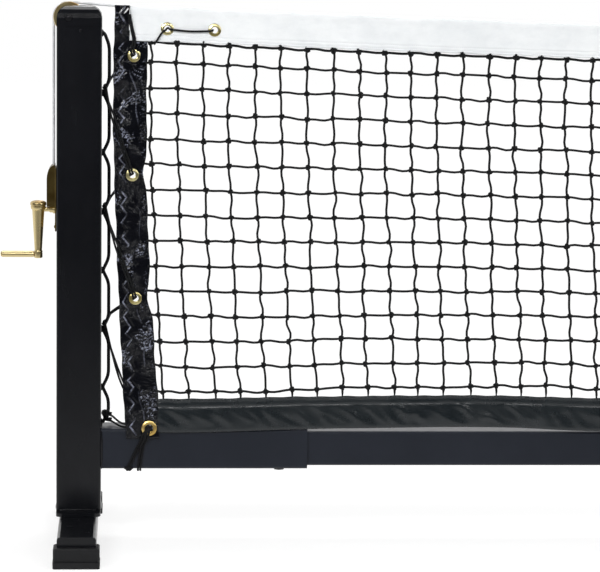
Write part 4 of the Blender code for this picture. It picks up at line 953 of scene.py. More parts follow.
def eyelets(side):
    """One end's eyelets: the side band's three, the headband's two and the corner's."""
    label = side_name(side)
    body = label + "_frame"

    def row(look, node, spots, depth, body):
        for number, (outward, height) in enumerate(spots, 1):
            eyelet(f"{label}_{look}_eyelet_{number}", place(side, -outward, net_y(height), height),
                   depth, 11 * MM, 5.5 * MM, f"{label}_{node}_grommet_{number}", side, body)

    row("side", "side", SIDE_GROMMETS, 3.0 * MM, body)
    outward, height = CORNER_GROMMET
    eyelet(label + "_corner_eyelet", place(side, -outward, net_y(height), height), 3.0 * MM,
           13 * MM, 6.5 * MM, label + "_corner_grommet", side, body, GOLD_BRASS)
    row("band", "headband", HEADBAND_GROMMETS, 6.2 * MM, None)


# ------------------------------------------------------------------ side bands
def band_relief(u, z, seed):
    """How far the vinyl stands forward, in mm: a sharp zig-zag crease down its outer third, fine
    puckers along its inner edge where the net pulls, and broad shallow facets. And how strongly
    its sharpest lines take the painted highlight, pale in the colour, from 0 to 1."""
    z_mm, width = z / MM, BAND_WIDTH / MM
    across = u * width
    leg = (z_mm + 9 * noise_at(z_mm / 30, seed, 0)) / 27
    zigzag = abs(2 * (leg - math.floor(leg)) - 1)
    wander = 0.24 + 0.17 * (zigzag - 0.5) + 0.10 * noise_at(z_mm / 90, 0, seed)
    strength = 0.75 + 0.6 * noise_at(z_mm / 55, 4, seed)
    off = (u - wander) * width
    crease = 1.7 * strength * math.exp(-abs(off) / 1.5) - 0.9 * strength * hump(off, 4, 3.2)
    # the painted highlight's mask starts here, along the main crease
    worn = smooth(1.3, 0.3, abs(off)) * smooth(-0.25, 0.25, noise_at(z_mm / 19, 7, seed))
    second = 0.62 + 0.12 * math.sin(z_mm / 31 + seed) + 0.05 * math.sin(z_mm / 11)
    off = (u - second) * width
    patch = smooth(-0.05, 0.35, noise_at(z_mm / 48, 9, seed))
    crease += 1.3 * patch * math.exp(-abs(off) / 1.4)
    pucker = noise_at(u * 2.4, z_mm / 3.6 + 1.8 * u, seed + 3)
    pucker = (1 - 2 * abs(pucker)) ** 3 * smooth(0.45, 0.95, u)
    tug = smooth(0.0, 0.3, noise_at(3 * u, z_mm / 22, seed + 31))
    chip = max(0.0, 1 - 3.2 * abs(noise_at(across / 8, z_mm / 6, seed + 8))) ** 1.5
    chip *= smooth(0.0, 0.3, noise_at(across / 30, z_mm / 34, seed + 11))
    broad = noise_at(across / 30, z_mm / 44, seed + 20)
    # painted highlight: crease lines, chips and puckers all add to the mask of pale colour
    worn = max(worn, 0.4 * patch * smooth(1.2, 0.3, abs(off)), 0.9 * smooth(0.55, 0.95, chip),
               0.75 * smooth(0.62, 0.95, pucker) * tug * smooth(1.0, 0.9, u))
    lift = crease + 0.8 * pucker + chip + 1.5 * broad + 0.7 * math.sin(z_mm / 38 + seed)
    return lift, worn


def side_band(side):
    """Creased glossy vinyl, drawn in where the twine pulls and flat round each eyelet."""
    name = side_name(side)
    columns, rows = 50, 560
    top = NET_TOP - MM
    flats = SIDE_GROMMETS + [CORNER_GROMMET]
    verts, uv, wear = [], [], []
    seed = 3.1 if side < 0 else 17.7
    for j in range(rows + 1):
        z = BAND_BOTTOM + (top - BAND_BOTTOM) * j / rows
        clear = 4.6 * MM * min(1.0, max(0.0, (z - 868 * MM) / (28 * MM)))   # of the cable
        for i in range(columns + 1):
            u = i / columns
            o = band_edge(z) + BAND_WIDTH * u
            flat = min(math.hypot(o - a, z - b) for a, b in flats)
            slack = smooth(12 * MM, 22 * MM, flat) * smooth(0.0, 3 * MM, z - BAND_BOTTOM)
            lift, worn = band_relief(u, z, seed)
            lift = min(4.2 * MM, max(-1.6 * MM, lift * slack * MM))
            edge = 0.5 * MM * (math.sin(z * 55 + seed) * slack + math.sin(z * 140))
            if u < 0.5:
                o += edge * (1 - 2 * u) ** 3
            else:
                o -= (edge + band_pull(z)) * (2 * u - 1) ** 3
            verts.append(place(side, -o, net_y(z) - lift - clear, z))
            uv.append((u * BAND_WIDTH, z))
            # painted highlight: the second UV holds how strongly the crease lines are painted pale
            wear.append((slack * worn, 0.0))
    # the top inner corner is cut away for the headband
    low = NET_TOP - HEADBAND_HEIGHT - 1.5 * MM
    inner = HEADBAND_INSET - 0.6 * MM
    faces = []
    for index, face in enumerate(grid_faces(rows, columns)):
        j, i = divmod(index, columns)
        z = BAND_BOTTOM + (top - BAND_BOTTOM) * (j + 0.5) / rows
        if z <= low or band_edge(z) + BAND_WIDTH * (i + 0.5) / columns <= inner:
            faces.append(face)
    made = sheet_object(name + "_band_vinyl", verts, faces, VINYL, uv, wear)
    thicken(made, 1.5 * MM)
    punch(made, side, [(*spot, 6.7 * MM) for spot in SIDE_GROMMETS] + [(*CORNER_GROMMET, 7.7 * MM)])
    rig.ride(made, name + "_frame")
    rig.replaces(made, name + "_side_band")
    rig.slot(made, "black_vinyl")
    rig.sheet(made, flat=(0.060, 0.742), held="stretched",
             rests_on=[name + "_lacing_bar"], area=0.0420)


def punch(made, side, holes):
    """Applies made's modifiers and cuts holes (outward, height, radius) square through the net."""
    cutters = []
    for index, (outward, height, radius) in enumerate(holes):
        cutter = lathe(f"cutter_{index}", [(0, -0.02), (radius, -0.02), (radius, 0.02), (0, 0.02)],
                       place(side, -outward, net_y(height), height), NET_NORMAL, VINYL, 28)
        cut = made.modifiers.new("hole", "BOOLEAN")
        cut.operation = "DIFFERENCE"
        cut.solver = "EXACT"
        cut.object = cutter
        cutters.append(cutter)
    apply_modifiers(made)
    for cutter in cutters:
        bpy.data.objects.remove(cutter)


# ------------------------------------------------------------------ headband and bottom band
def headband_section():
    """Front and back of the folded headband as (y, depth), from front hem over the fold."""
    flap = 2.0 * MM
    radius = 3.1 * MM
    low = HEADBAND_HEIGHT
    rows = []
    for step in range(15):
        depth = low + (6.5 * MM - low) * step / 14
        t = smooth(16 * MM, 6.5 * MM, depth)
        rows.append((-(flap + (radius - flap) * t), depth))
    for step in range(1, 8):
        angle = math.pi * step / 8
        rows.append((-radius * math.cos(angle), radius - radius * math.sin(angle) + 0.6 * MM))
    return rows + [(-y, depth) for y, depth in reversed(rows[:15])]


def headband(side):
    """Half of the headband: creased over the cable, pulled in at each of the net's columns."""
    name = side_name(side)
    reach = HALF - HEADBAND_INSET
    spans = 560
    section = headband_section()
    verts, uv = [], []
    for i in range(spans + 1):
        x = side * reach * i / spans
        inward = reach - abs(x)
        x_mm = x / MM
        column = math.cos(math.tau * x / CELL)
        for y, depth in section:
            front = y < 0
            share = depth / HEADBAND_HEIGHT
            seed = 2.0 if front else 9.0
            d_mm = depth / MM
            bulge = noise_at(x_mm / 55, d_mm / 26, seed + side)
            diagonal = noise_at((x_mm + 0.9 * d_mm) / 24, (d_mm - 0.4 * x_mm) / 60, seed + 4 + side)
            out = smooth(2 * MM, 14 * MM, depth) * (1.0 if inward > 17 * MM else 0.25)
            out *= MM * (0.9 * bulge + 0.75 * diagonal + 0.35 * column * (1 - abs(2 * share - 0.7)))
            if y:
                out += 0.5 * MM * (smooth(17 * MM, 15 * MM, inward)
                                   + smooth(0.76, 0.80, share) * 0.8)
            near_hole = min(math.hypot(inward + HEADBAND_INSET - a, 36.5 * MM - depth)
                            for a, _ in HEADBAND_GROMMETS)
            out *= smooth(13 * MM, 26 * MM, near_hole)
            depth_y = -out if front else max(0.0, out)
            z = net_top(x) - depth - 0.6 * MM * share * (column * 0.5 + bulge)
            verts.append((x + CENTRE_X, net_y(z) + y + depth_y, z))
            uv.append((x, HEADBAND_HEIGHT - depth))
    made = sheet_object(name + "_headband_vinyl", verts, grid_faces(spans, len(section) - 1),
                        WHITE, uv)
    thicken(made, 0.8 * MM)
    punch(made, side, [(*spot, 6.6 * MM) for spot in HEADBAND_GROMMETS])
    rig.replaces(made, "headband")
    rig.slot(made, "white_vinyl")
    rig.sheet(made, flat=(0.122, reach), held="folded", rests_on=["headband_cable"])
    span_blend(made, side)


def bottom_edge(x):
    """The band's lower fold, slack between its lacings: it lifts away from the ends and waves."""
    inward = (HALF - abs(x)) / MM
    lift = 7.5 * smooth(120, 420, inward) + 3.0 * hump(inward, 620, 150)
    lift += smooth(700, 860, inward) * (1.4 * math.sin((inward - 860) / 290) - 4.2)
    return NET_BOTTOM + lift * MM


def bottom_band(side):
    """Half of the bottom band: satin folds, puckers at the seam and a bump over each twine."""
    name = side_name(side)
    spans = 620
    rise = BOTTOM_BAND_HEIGHT
    heights = [rise * (1 - (step / 20)) for step in range(21)]
    section = [(-1, h) for h in heights[:-1]] + [(-0.7, 1.0 * MM), (0, 0), (0.7, 1.0 * MM)]
    section += [(1, h) for h in reversed(heights[:-1])]
    verts, uv = [], []
    seed = 6.0 + side
    for i in range(spans + 1):
        share = side * i / spans
        for sign, height in section:
            z0 = NET_BOTTOM + height
            x = share * (net_edge(z0) + 9 * MM)         # it reaches 9 mm in behind the side band
            x_mm, h_mm = x / MM, height / MM
            own = seed + 3 * sign
            inward = HALF - abs(x)
            up = height / rise
            belly = math.sin(math.pi * min(1.0, up * 1.15)) ** 1.2
            soft = noise_at((x_mm + 1.2 * h_mm) / 48, h_mm / 40, own)
            sweep = noise_at((x_mm + 1.6 * h_mm) / 23, h_mm / 90, own + 7)
            drama = 0.55 + 0.45 * smooth(900 * MM, 200 * MM, inward)
            fan = abs(noise_at((x_mm + 0.7 * h_mm) / 34, h_mm / 70, own + 13))
            crumple = hump(inward / MM, 600, 110)
            out = 1.9 + belly * (2.0 * soft + 3.2 * max(0.0, sweep) * drama + 0.4
                                 + (2.2 + 1.8 * crumple) * max(0.0, 1 - 5 * fan))
            twine = hump(math.sin(math.pi * x / CELL) * CELL / math.pi, 0, 2.0 * MM)
            out += 0.55 * twine * smooth(0.62, 0.9, up) - 0.7 * hump(h_mm, 44.5, 2.4)
            out = max(out, 1.7 if up > 0.5 else 0.9)
            out = min(out, 6.0) * abs(sign)
            tucked = smooth(-1 * MM, 2.5 * MM, abs(x) - net_edge(z0))
            out = out * (1 - tucked) + tucked * (2.6 if sign > 0 else -1.2)
            scallop = 0.9 * MM * smooth(0.75, 1.0, up) * (noise_at(x_mm / 60, 3, seed)
                                                          + 0.5 * math.cos(math.tau * x / CELL))
            edge = bottom_edge(x)
            z = edge + height * (1 - 0.35 * (edge - NET_BOTTOM) / rise) + scallop
            verts.append((x + CENTRE_X, net_y(z0) + (out if sign > 0 else -out) * MM, z))
            uv.append((x, height))
    made = sheet_object(name + "_bottom_vinyl", verts, grid_faces(spans, len(section) - 1),
                        SATIN, uv)
    thicken(made, 0.8 * MM)
    apply_modifiers(made)
    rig.replaces(made, "bottom_band")
    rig.slot(made, "black_vinyl")
    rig.sheet(made, flat=(0.120, net_edge(NET_BOTTOM)), held="folded", rests_on=["net_mesh"])
    span_blend(made, side)


# ------------------------------------------------------------------ the knotted net
COLUMNS = 147                   # meshes along the net
ROWS = 14                       # meshes up the net
TWINE_RADIUS = 2.2 * MM
TUCKED_RADIUS = 1.35 * MM       # twine squeezed between the folded bands
FIRST_COLUMN = 5 * MM           # first upright twine, from the side band's edge at the top
FIRST_ROW = 33 * MM             # the top row of meshes is shorter
TOP_GAP = 5 * MM                # headband's hem to the first row of knots
LAST_ROW = 263 * MM             # height of the last row at the ends


def knot_point(c, r, jitter):
    """Where row r and column c meet. Row 0 is the top; jitter is a table of small offsets."""
    share = 2 * c / COLUMNS - 1
    top = net_top(share * HALF) - HEADBAND_HEIGHT - TOP_GAP
    low = LAST_ROW + bottom_edge(share * HALF) - NET_BOTTOM
    z = top if r == 0 else top - FIRST_ROW + (low - top + FIRST_ROW) * (r - 1) / (ROWS - 1)
    dx, dy, dz = jitter[c, r]
    calm = 0.35 if c in (0, COLUMNS) else 1.0
    x = share * (net_edge(z) - FIRST_COLUMN * (2 - (z - low) / (top - low))) + dx * calm
    z += dz * (1.0 if r else 0.4)
    return np.array((x + CENTRE_X, net_y(z) + dy, z))


def knot_template():
    """A small overhand knot: a trefoil of twine pulled tight, as vertices and quads."""
    count, sides = 16, 5
    t = np.arange(count) * math.tau / count
    path = np.stack([(np.sin(t) + 2 * np.sin(2 * t)) * 1.05, np.sin(3 * t) * 1.25,
                     (np.cos(t) - 2 * np.cos(2 * t)) * 1.05], -1) * MM
    ahead = np.roll(path, -1, 0) - np.roll(path, 1, 0)
    ahead /= np.linalg.norm(ahead, axis=1)[:, None]
    first = np.cross(ahead, (0.3, 1.0, 0.2))
    first /= np.linalg.norm(first, axis=1)[:, None]
    second = np.cross(ahead, first)
    angle = np.arange(sides) * math.tau / sides
    verts = (path[:, None] + 1.75 * MM * (first[:, None] * np.cos(angle)[None, :, None]
                                          + second[:, None] * np.sin(angle)[None, :, None]))
    i = np.arange(count)[:, None]
    k = np.arange(sides)[None]
    j, nxt = (i + 1) % count, (k + 1) % sides
    quads = np.stack([i * sides + k, i * sides + nxt, j * sides + nxt, j * sides + k], -1)
    return verts.reshape(-1, 3), quads.reshape(-1, 4)


def strand(start, end, swing, bow, lift):
    """Points of one twine between two knots: an S of size swing and a bow, in the net's plane."""
    t = np.linspace(0, 1, 7)
    line = start[None] + (end - start)[None] * t[:, None]
    ahead = (end - start) / np.linalg.norm(end - start)
    square = np.array((-ahead[2], 0, ahead[0]))
    wave = swing * np.sin(math.tau * t) + bow * np.sin(math.pi * t)
    line += square[None] * wave[:, None]
    line[:, 1] += lift * np.sin(math.pi * t)
    return line


def twine(points, radius=TWINE_RADIUS):
    """A length of the net's twine."""
    return tube_arrays(points, radius, 6, (0, 1, 0))


def net_row(knots, swings, r, start, end):
    """One row of twine from knot start to knot end, the uppermost a little thicker."""
    line = []
    for c in range(start, end):
        s = swings[c, r]
        line.append(strand(knots[c, r], knots[c + 1, r], (0.75 + 0.5 * s[0]) * MM,
                           (-1.0 + 0.8 * s[1]) * MM, 0.5 * s[2] * MM)[:-1])
    line.append(knots[end, r][None])
    return twine(np.concatenate(line), TWINE_RADIUS * (1.0 if r else 1.12))


def net_column(knots, swings, c):
    """From inside the headband down to inside the bottom band, thinner where it is squeezed."""
    top, foot = knots[c, 0], knots[c, ROWS]
    x = top[0] - CENTRE_X
    hem = net_top(x) - HEADBAND_HEIGHT
    head = np.array((top[0] - 1.2 * MM, net_y(hem), hem + 4 * MM))
    line = [np.array([head, (head + top) / 2 + (0.5 * MM, 0, 0)])]
    for r in range(ROWS):
        s = swings[c, r]
        flip = 1 if (c + r) % 2 else -1
        line.append(strand(knots[c, r], knots[c, r + 1], flip * (1.1 + 0.6 * s[3]) * MM,
                           (0.4 + 1.1 * s[4]) * MM, 0.5 * s[5] * MM)[:-1])
    low = bottom_edge(x) + BOTTOM_BAND_HEIGHT - 7 * MM
    line.append(np.array([foot] + [(foot[0] + across * MM, net_y(low + up * MM), low + up * MM)
                                   for across, up in ((0.8, 11), (0.6, 5), (0.4, 0))]))
    line = np.concatenate(line)
    tucked = (line[:, 2] > hem + MM) | (line[:, 2] < low + 6 * MM)
    return twine(line, np.where(tucked, TUCKED_RADIUS, TWINE_RADIUS))


def net_edge_ties(knots, column, side, rng):
    """Short ends from the outermost knots to the side band."""
    for knot in knots[column]:
        z = knot[2] + rng.normal(0, 1.0) * MM
        edge = side * (net_edge(z) + band_pull(z) + 4 * MM) + CENTRE_X
        yield twine(strand(np.array((edge, net_y(z), z)), knot, 0.3 * MM, -0.4 * MM, 0))


def net_knots(knots, columns, rng):
    """The knots of these columns, each turned and sized a little differently."""
    template, quads = knot_template()
    for c in columns:
        for r in range(ROWS + 1):
            a, b, d = rng.uniform(0, math.tau), rng.normal(0, 0.35), rng.normal(0, 0.35)
            turn = np.array(Matrix.Rotation(a, 3, "Y") @ Matrix.Rotation(b, 3, "X")
                            @ Matrix.Rotation(d, 3, "Z"))
            size = rng.uniform(1.15, 1.35) * (1.0 if r else 1.12)
            yield template @ turn.T * size + knots[c, r], quads
            if r == 0:
                # the short tail of the border knot
                tail = np.array(((0, 0, 0), (-1.9, -0.5, 2.75), (-2.6, -1.0, 5.5))) * MM
                yield twine(knots[c, 0] + tail)


def net():
    """The knotted twine in eight panels, so that the outer ones can stretch with an end frame."""
    rng = np.random.default_rng(20)
    jitter = rng.normal(0, 1, (COLUMNS + 1, ROWS + 1, 3)) * np.array((1.25, 0.5, 1.0)) * MM
    jitter = np.clip(jitter, -2.8 * MM, 2.8 * MM)
    knots = np.array([[knot_point(c, r, jitter) for r in range(ROWS + 1)]
                      for c in range(COLUMNS + 1)])
    panels = 8
    bounds = [round(COLUMNS * p / panels) for p in range(panels + 1)]
    swings = rng.normal(0, 1, (COLUMNS + 1, ROWS + 2, 6))
    fixed = HALF - HEADBAND_INSET - STRETCH         # beyond this the net stretches
    for p, (start, end) in enumerate(zip(bounds, bounds[1:])):
        last = p == panels - 1
        columns = range(start, end + 1 if last else end)
        chunks = [net_row(knots, swings, r, start, end) for r in range(ROWS + 1)]
        chunks += [net_column(knots, swings, c) for c in columns]
        if p == 0:
            chunks += net_edge_ties(knots, 0, -1, rng)
        if last:
            chunks += net_edge_ties(knots, COLUMNS, 1, rng)
        chunks += net_knots(knots, columns, rng)
        verts, quads = join_arrays(chunks)
        piece = array_object(f"net_panel_{p + 1}", verts, quads, TWINE)
        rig.replaces(piece, "net_mesh")
        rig.slot(piece, "black_cord")
        if knots[start, 0][0] - CENTRE_X < -fixed:
            span_blend(piece, -1)
        elif knots[end, 0][0] - CENTRE_X > fixed:
            span_blend(piece, 1)
        else:
            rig.ride(piece, "crossbar")


# ------------------------------------------------------------------ posts, bars and cables
def fillet(corners, parts=5):
    """A line through corners (x, y, radius), each rounded by its own radius."""
    line = [Vector(corners[0][:2])]
    for before, (x, y, radius), after in zip(corners, corners[1:], corners[2:]):
        corner = Vector((x, y))
        back, ahead = (Vector(before[:2]) - corner), (Vector(after[:2]) - corner)
        reach = min(radius, 0.49 * back.length, 0.49 * ahead.length)
        start, end = corner + reach * back.normalized(), corner + reach * ahead.normalized()
        for step in range(parts + 1):
            t = step / parts
            line.append(start * (1 - t) ** 2 + corner * 2 * t * (1 - t) + end * t ** 2)
    return line + [Vector(corners[-1][:2])]


def bar_line():
    """The lacing bar's bends as (outward, height): straight runs that dip to each weld."""
    touch = -(BAR_RADIUS - 0.6 * MM)
    bend, elbow, tip = 21 * MM, 9 * MM, 4 * MM
    corners = [(touch + 2 * MM, BAR_FIRST + 2 * MM, 0),
               (touch - 2.5 * MM, BAR_FIRST - 1.5 * MM, tip)]
    for weld in range(BAR_WELDS):
        height = BAR_FIRST - weld * BAR_PITCH
        if weld:
            corners += [(-BAR_REACH, height + bend, elbow), (touch, height, tip)]
        corners.append((-BAR_REACH, height - bend, elbow if weld else 12 * MM))
    corners += [(-BAR_REACH, BAR_END + 17 * MM, elbow), (touch, BAR_END, 0)]
    return fillet(corners)


def lacing_bar(side):
    """The round bar welded to the post, with its dips and its beads."""
    name = side_name(side)
    points = [place(side, outward, 0, height) for outward, height in bar_line()]
    piece = rope(name + "_bent_bar", points, BAR_RADIUS, POWDER, name + "_frame", 4)
    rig.replaces(piece, name + "_lacing_bar")
    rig.slot(piece, "black_powder_coat")
    welds = [BAR_FIRST - weld * BAR_PITCH for weld in range(BAR_WELDS)] + [BAR_END + MM]
    for index, height in enumerate(welds):
        bead(f"{name}_bar_weld_{index + 1}", [place(side, -0.6 * MM, 0, height + s * MM)
                                              for s in (-6, -3, 0, 3, 6)], 2.6 * MM,
             name + "_frame", index)


def bead(name, points, radius, body, seed=0):
    """A short lumpy weld bead, coated with the rest."""
    line = catmull(points)
    ring = []
    for index in range(len(line)):
        share = index / (len(line) - 1)
        taper = math.sin(math.pi * min(1.0, max(0.0, share * 0.94 + 0.03))) ** 0.5
        ring.append(radius * taper * (1 + 0.12 * noise_at(index * 0.8, seed, 0)))
    verts, quads = tube_arrays(np.array(line), np.array(ring), 10, (0.02, 1, 0.05))
    made = array_object(name, verts, quads, POWDER)
    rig.ride(made, body)
    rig.slot(made, "black_powder_coat")


def cable(side):
    """Out of the headband's end, over the pulley and down to the winch drum or the anchor."""
    name = side_name(side)
    height = net_top(HALF - HEADBAND_INSET) - 3.8 * MM
    centre = Vector((PULLEY_OUT, PULLEY_HEIGHT))
    radius = CABLE_OUT - PULLEY_OUT
    away = Vector((-HEADBAND_INSET, height)) - centre
    lean = math.atan2(away.y, away.x) - math.acos(radius / away.length)
    route = [(-HEADBAND_INSET - 30 * MM, 0, height - 0.9 * MM)]
    for step in range(21):
        angle = lean * (1 - step / 20)
        route.append((centre.x + radius * math.cos(angle), 0, centre.y + radius * math.sin(angle)))
    if side < 0:
        route += [(CABLE_OUT, 1.5 * MM, 820 * MM), (CABLE_OUT, 3.5 * MM, 720 * MM),
                  (CABLE_OUT, 5 * MM, GEAR_HEIGHT + 30 * MM),
                  (CABLE_OUT, 5 * MM, GEAR_HEIGHT + 2 * MM)]
    else:
        route += [(CABLE_OUT, 0, 780 * MM), (CABLE_OUT, 0, 643 * MM)]
    points = [place(side, *p) for p in route]
    piece = rope(name + "_winch_cable" if side < 0 else name + "_anchor_cable", points,
                 CABLE_RADIUS, CABLE, name + "_frame", 4)
    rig.replaces(piece, name + "_cable")
    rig.slot(piece, "white_coated_cable")
    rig.cord(piece, exit=points[0], length=route_length(points), diameter=2 * CABLE_RADIUS,
            far_end="object", stiffness="stiff", lay="taut")


def pulley(side):
    """The brass sheave, the bolt that it turns on and the cap's rivet."""
    name = side_name(side)
    flank = [(4.3, 5.5), (9, 5.5), (10, 4.8), (19, 4.8), (20.5, 7.5), (25.6, 7.5), (26.4, 6.7),
             (26.4, 4.9)]
    turns = [math.pi * step / 8 for step in range(9)]
    groove = [(25.9 - 2.6 * math.sin(angle), 2.6 * math.cos(angle)) for angle in turns]
    profile = flank + groove + [(radius, -along) for radius, along in reversed(flank)]
    where = place(side, PULLEY_OUT, 0, PULLEY_HEIGHT)
    piece = lathe(name + "_sheave", mm(*profile), where, "Y", BRASS, 72, name + "_pulley")
    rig.replaces(piece, name + "_pulley")
    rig.slot(piece, "polished_brass")
    face = POST / 2 + 0.3 * MM
    far = -2 * face / MM            # the nut's side
    head = mm((0, 3.5), (1.5, 3.4), (3.2, 2.9), (4.6, 2.0), (5.3, 0.9), (5.4, 0), (4, 0), (4, far),
              (6, far), (6.2, far - 0.5), (6.2, far - 3.6), (5.6, far - 4), (0, far - 4))
    bolt = lathe(name + "_sheave_bolt", head, where + Vector((0, -face, 0)), FROM_NEAR,
                 BLACK_STEEL, 32, name + "_frame")
    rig.replaces(bolt, name + "_pulley_axle")
    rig.slot(bolt, "black_bolt")
    screw = mm((0, 1.1), (1.2, 1.0), (2.0, 0.5), (2.2, 0), (0, 0))
    rivet = lathe(name + "_cap_rivet", screw, place(side, 36.2 * MM, -POST / 2, 878.5 * MM),
                  FROM_NEAR, BLACK_STEEL, 20, name + "_frame")
    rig.slot(rivet, "black_bolt")


def straight(start, end):
    """Five points from start to end."""
    return [Vector(start).lerp(Vector(end), t / 4) for t in range(5)]


def welds(side):
    """Coated beads where the sleeve meets the post and the post its base plate."""
    name = side_name(side)
    body = name + "_frame"
    half = SLEEVE / 2
    run = half - 4 * MM             # clear of the corners
    for label, start, end in (("top", (-run, half), (run, half)),
                              ("low", (-run, -half), (run, -half)),
                              ("near", (-half, -run), (-half, run)),
                              ("far", (half, -run), (half, run))):
        points = [place(side, -1.2 * MM, y, BAR_AXIS + z) for y, z in straight(start, end)]
        bead(f"{name}_sleeve_weld_{label}", points, 2.4 * MM, body, 3)
    half = POST / 2
    run = 0.85 * half
    for label, start, end in (("near", (0.08 * POST, -half), (0.92 * POST, -half)),
                              ("far", (0.08 * POST, half), (0.92 * POST, half)),
                              ("outer", (POST, -run), (POST, run)), ("inner", (0, -run), (0, run))):
        points = [place(side, outward, y, 57.2 * MM) for outward, y in straight(start, end)]
        bead(f"{name}_foot_weld_{label}", points, 2.0 * MM, body, 8)


# ------------------------------------------------------------------ winch
def crank():
    """The turned lever and the collar on the worm's shaft, and the grip that spins on its pin."""
    out = place(-1, CRANK_OUT).x
    tip = -CRANK_RADIUS / MM
    profile = mm((0, 15.4), (5, 15.2), (9, 14.5), (12, 13.2), (13.4, 11.9), (13.75, 11.0),
                 (13.75, 7.6), (13.3, 7.0), (12.5, 6.7), (12.5, 6.0), (12.9, 5.4), (12.9, 2.4),
                 (12.5, 1.2), (11.6, 0.2), (10.6, -1.0), (10.3, -3.5), (6.35, tip + 8),
                 (6.3, tip + 7), (6.9, tip + 6.2), (7.3, tip + 5.4), (7.3, tip + 3.4),
                 (7.0, tip + 3), (7.0, tip + 2.4), (7.3, tip + 2), (7.3, tip - 4.6),
                 (6.9, tip - 5.8),
                 (5.8, tip - 6.5), (0, tip - 6.8))
    arm = lathe("crank_lever", profile, (out, GEAR_SIDE, SHAFT_HEIGHT), "Z", BRASS, 56, "crank",
                sharp=28)
    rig.replaces(arm, "crank_arm")
    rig.slot(arm, "polished_brass")
    grip_low, grip_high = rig.box("crank_grip")
    end = grip_low.x + 2.4 * MM     # a little shorter than its solid, as in the photograph
    height = SHAFT_HEIGHT - CRANK_RADIUS
    length = (grip_high.x - end) / MM
    sleeve = mm((2.8, 0), (4.7, 0), (5.4, 0.7), (5.4, length - 0.7), (4.7, length), (2.8, length))
    grip = lathe("grip_sleeve", sleeve, (grip_high.x, GEAR_SIDE, height), OUTWARDS, BRASS, 40,
                 "crank_handle")
    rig.replaces(grip, "crank_grip")
    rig.slot(grip, "polished_brass")
    reach = (out - end) / MM
    pin = mm((0, 0), (2.5, 0), (2.5, reach + 0.3), (4.0, reach + 0.3), (4.4, reach + 0.7),
             (4.0, reach + 1.5), (2.2, reach + 1.9), (0, reach + 1.9))
    rod = lathe("grip_pin", pin, (out, GEAR_SIDE, height), OUTWARDS, BRASS, 28, "crank")
    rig.slot(rod, "polished_brass")
    collar = mm((4.05, 0), (6.8, 0), (7.2, 0.5), (7.2, 3.0), (6.8, 3.5), (5.6, 3.6), (5.6, 9),
                (4.05, 9.2))
    ring = lathe("shaft_collar", collar, (place(-1, 79.4 * MM).x, GEAR_SIDE, SHAFT_HEIGHT),
                 OUTWARDS, BRASS, 36, "crank")
    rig.slot(ring, "polished_brass")


def winch_rivets():
    """Two rivets at the foot of the winch's mounting plate."""
    head = mm((0, 1.8), (1.4, 1.6), (2.6, 1.0), (3.2, 0), (0, -0.4))
    for index, y in enumerate((-24 * MM, 24 * MM), 1):
        piece = lathe(f"winch_rivet_{index}", head, place(-1, 79.0 * MM, y, 545 * MM), OUTWARDS,
                      DARK_BRASS, 20, "left_frame")
        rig.slot(piece, "polished_brass")


# ------------------------------------------------------------------ centre strap
def centre_strap():
    """White webbing looped over the headband and under the crossbar; its slider buckle is the CAD's own."""
    low = BAR_AXIS - SLEEVE / 2 - 1.6 * MM
    half = SLEEVE / 2 + 1.7 * MM
    fold = net_y(NET_CENTRE)
    top = NET_CENTRE + 1.4 * MM
    side = 5.2 * MM
    front = net_y(NET_BOTTOM) - 7.6 * MM
    turns = [math.pi * step / 8 for step in range(9)]
    line = [(fold + side * math.cos(angle), top - side + side * math.sin(angle)) for angle in turns]
    line += [(net_y(520 * MM) - 6 * MM, 520 * MM), (front, 256 * MM), (front, 196 * MM),
             (-half - 0.6 * MM, low + 14 * MM), (-half + 1.2 * MM, low + 2.5 * MM),
             (-half + 6 * MM, low), (0, low), (half - 6 * MM, low),
             (half - 1.2 * MM, low + 2.5 * MM), (half, low + 10 * MM),
             (half, BAR_AXIS + SLEEVE / 2 - 4 * MM)]
    dense = []
    for a, b in zip(line, line[1:] + line[:1]):
        a, b = Vector(a), Vector(b)
        steps = max(1, round((b - a).length / (20 * MM)))
        dense += [a + (b - a) * s / steps for s in range(steps)]
    width, across = 50 * MM, 6
    verts, uv = [], []
    run = 0.0
    for j, spot in enumerate(dense):
        run += (spot - dense[j - 1]).length if j else 0.0
        for i in range(across + 1):
            u = (i / across - 0.5) * width
            verts.append((CENTRE_X + u, spot.x, spot.y))
            uv.append((u, run))
    faces = [tuple(k % len(verts) for k in face) for face in grid_faces(len(dense), across)]
    made = sheet_object("strap_webbing", verts, faces, WEBBING, uv)
    thicken(made, 1.8 * MM)
    edge = made.modifiers.new("edge", "BEVEL")
    edge.width = 0.5 * MM
    edge.segments = 2
    apply_modifiers(made)
    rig.ride(made, "crossbar")
    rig.replaces(made, "center_strap")
    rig.slot(made, "white_webbing")
    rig.sheet(made, flat=(0.05, run + 0.06), held="stretched",
             rests_on=["headband", "crossbar_coupler"])


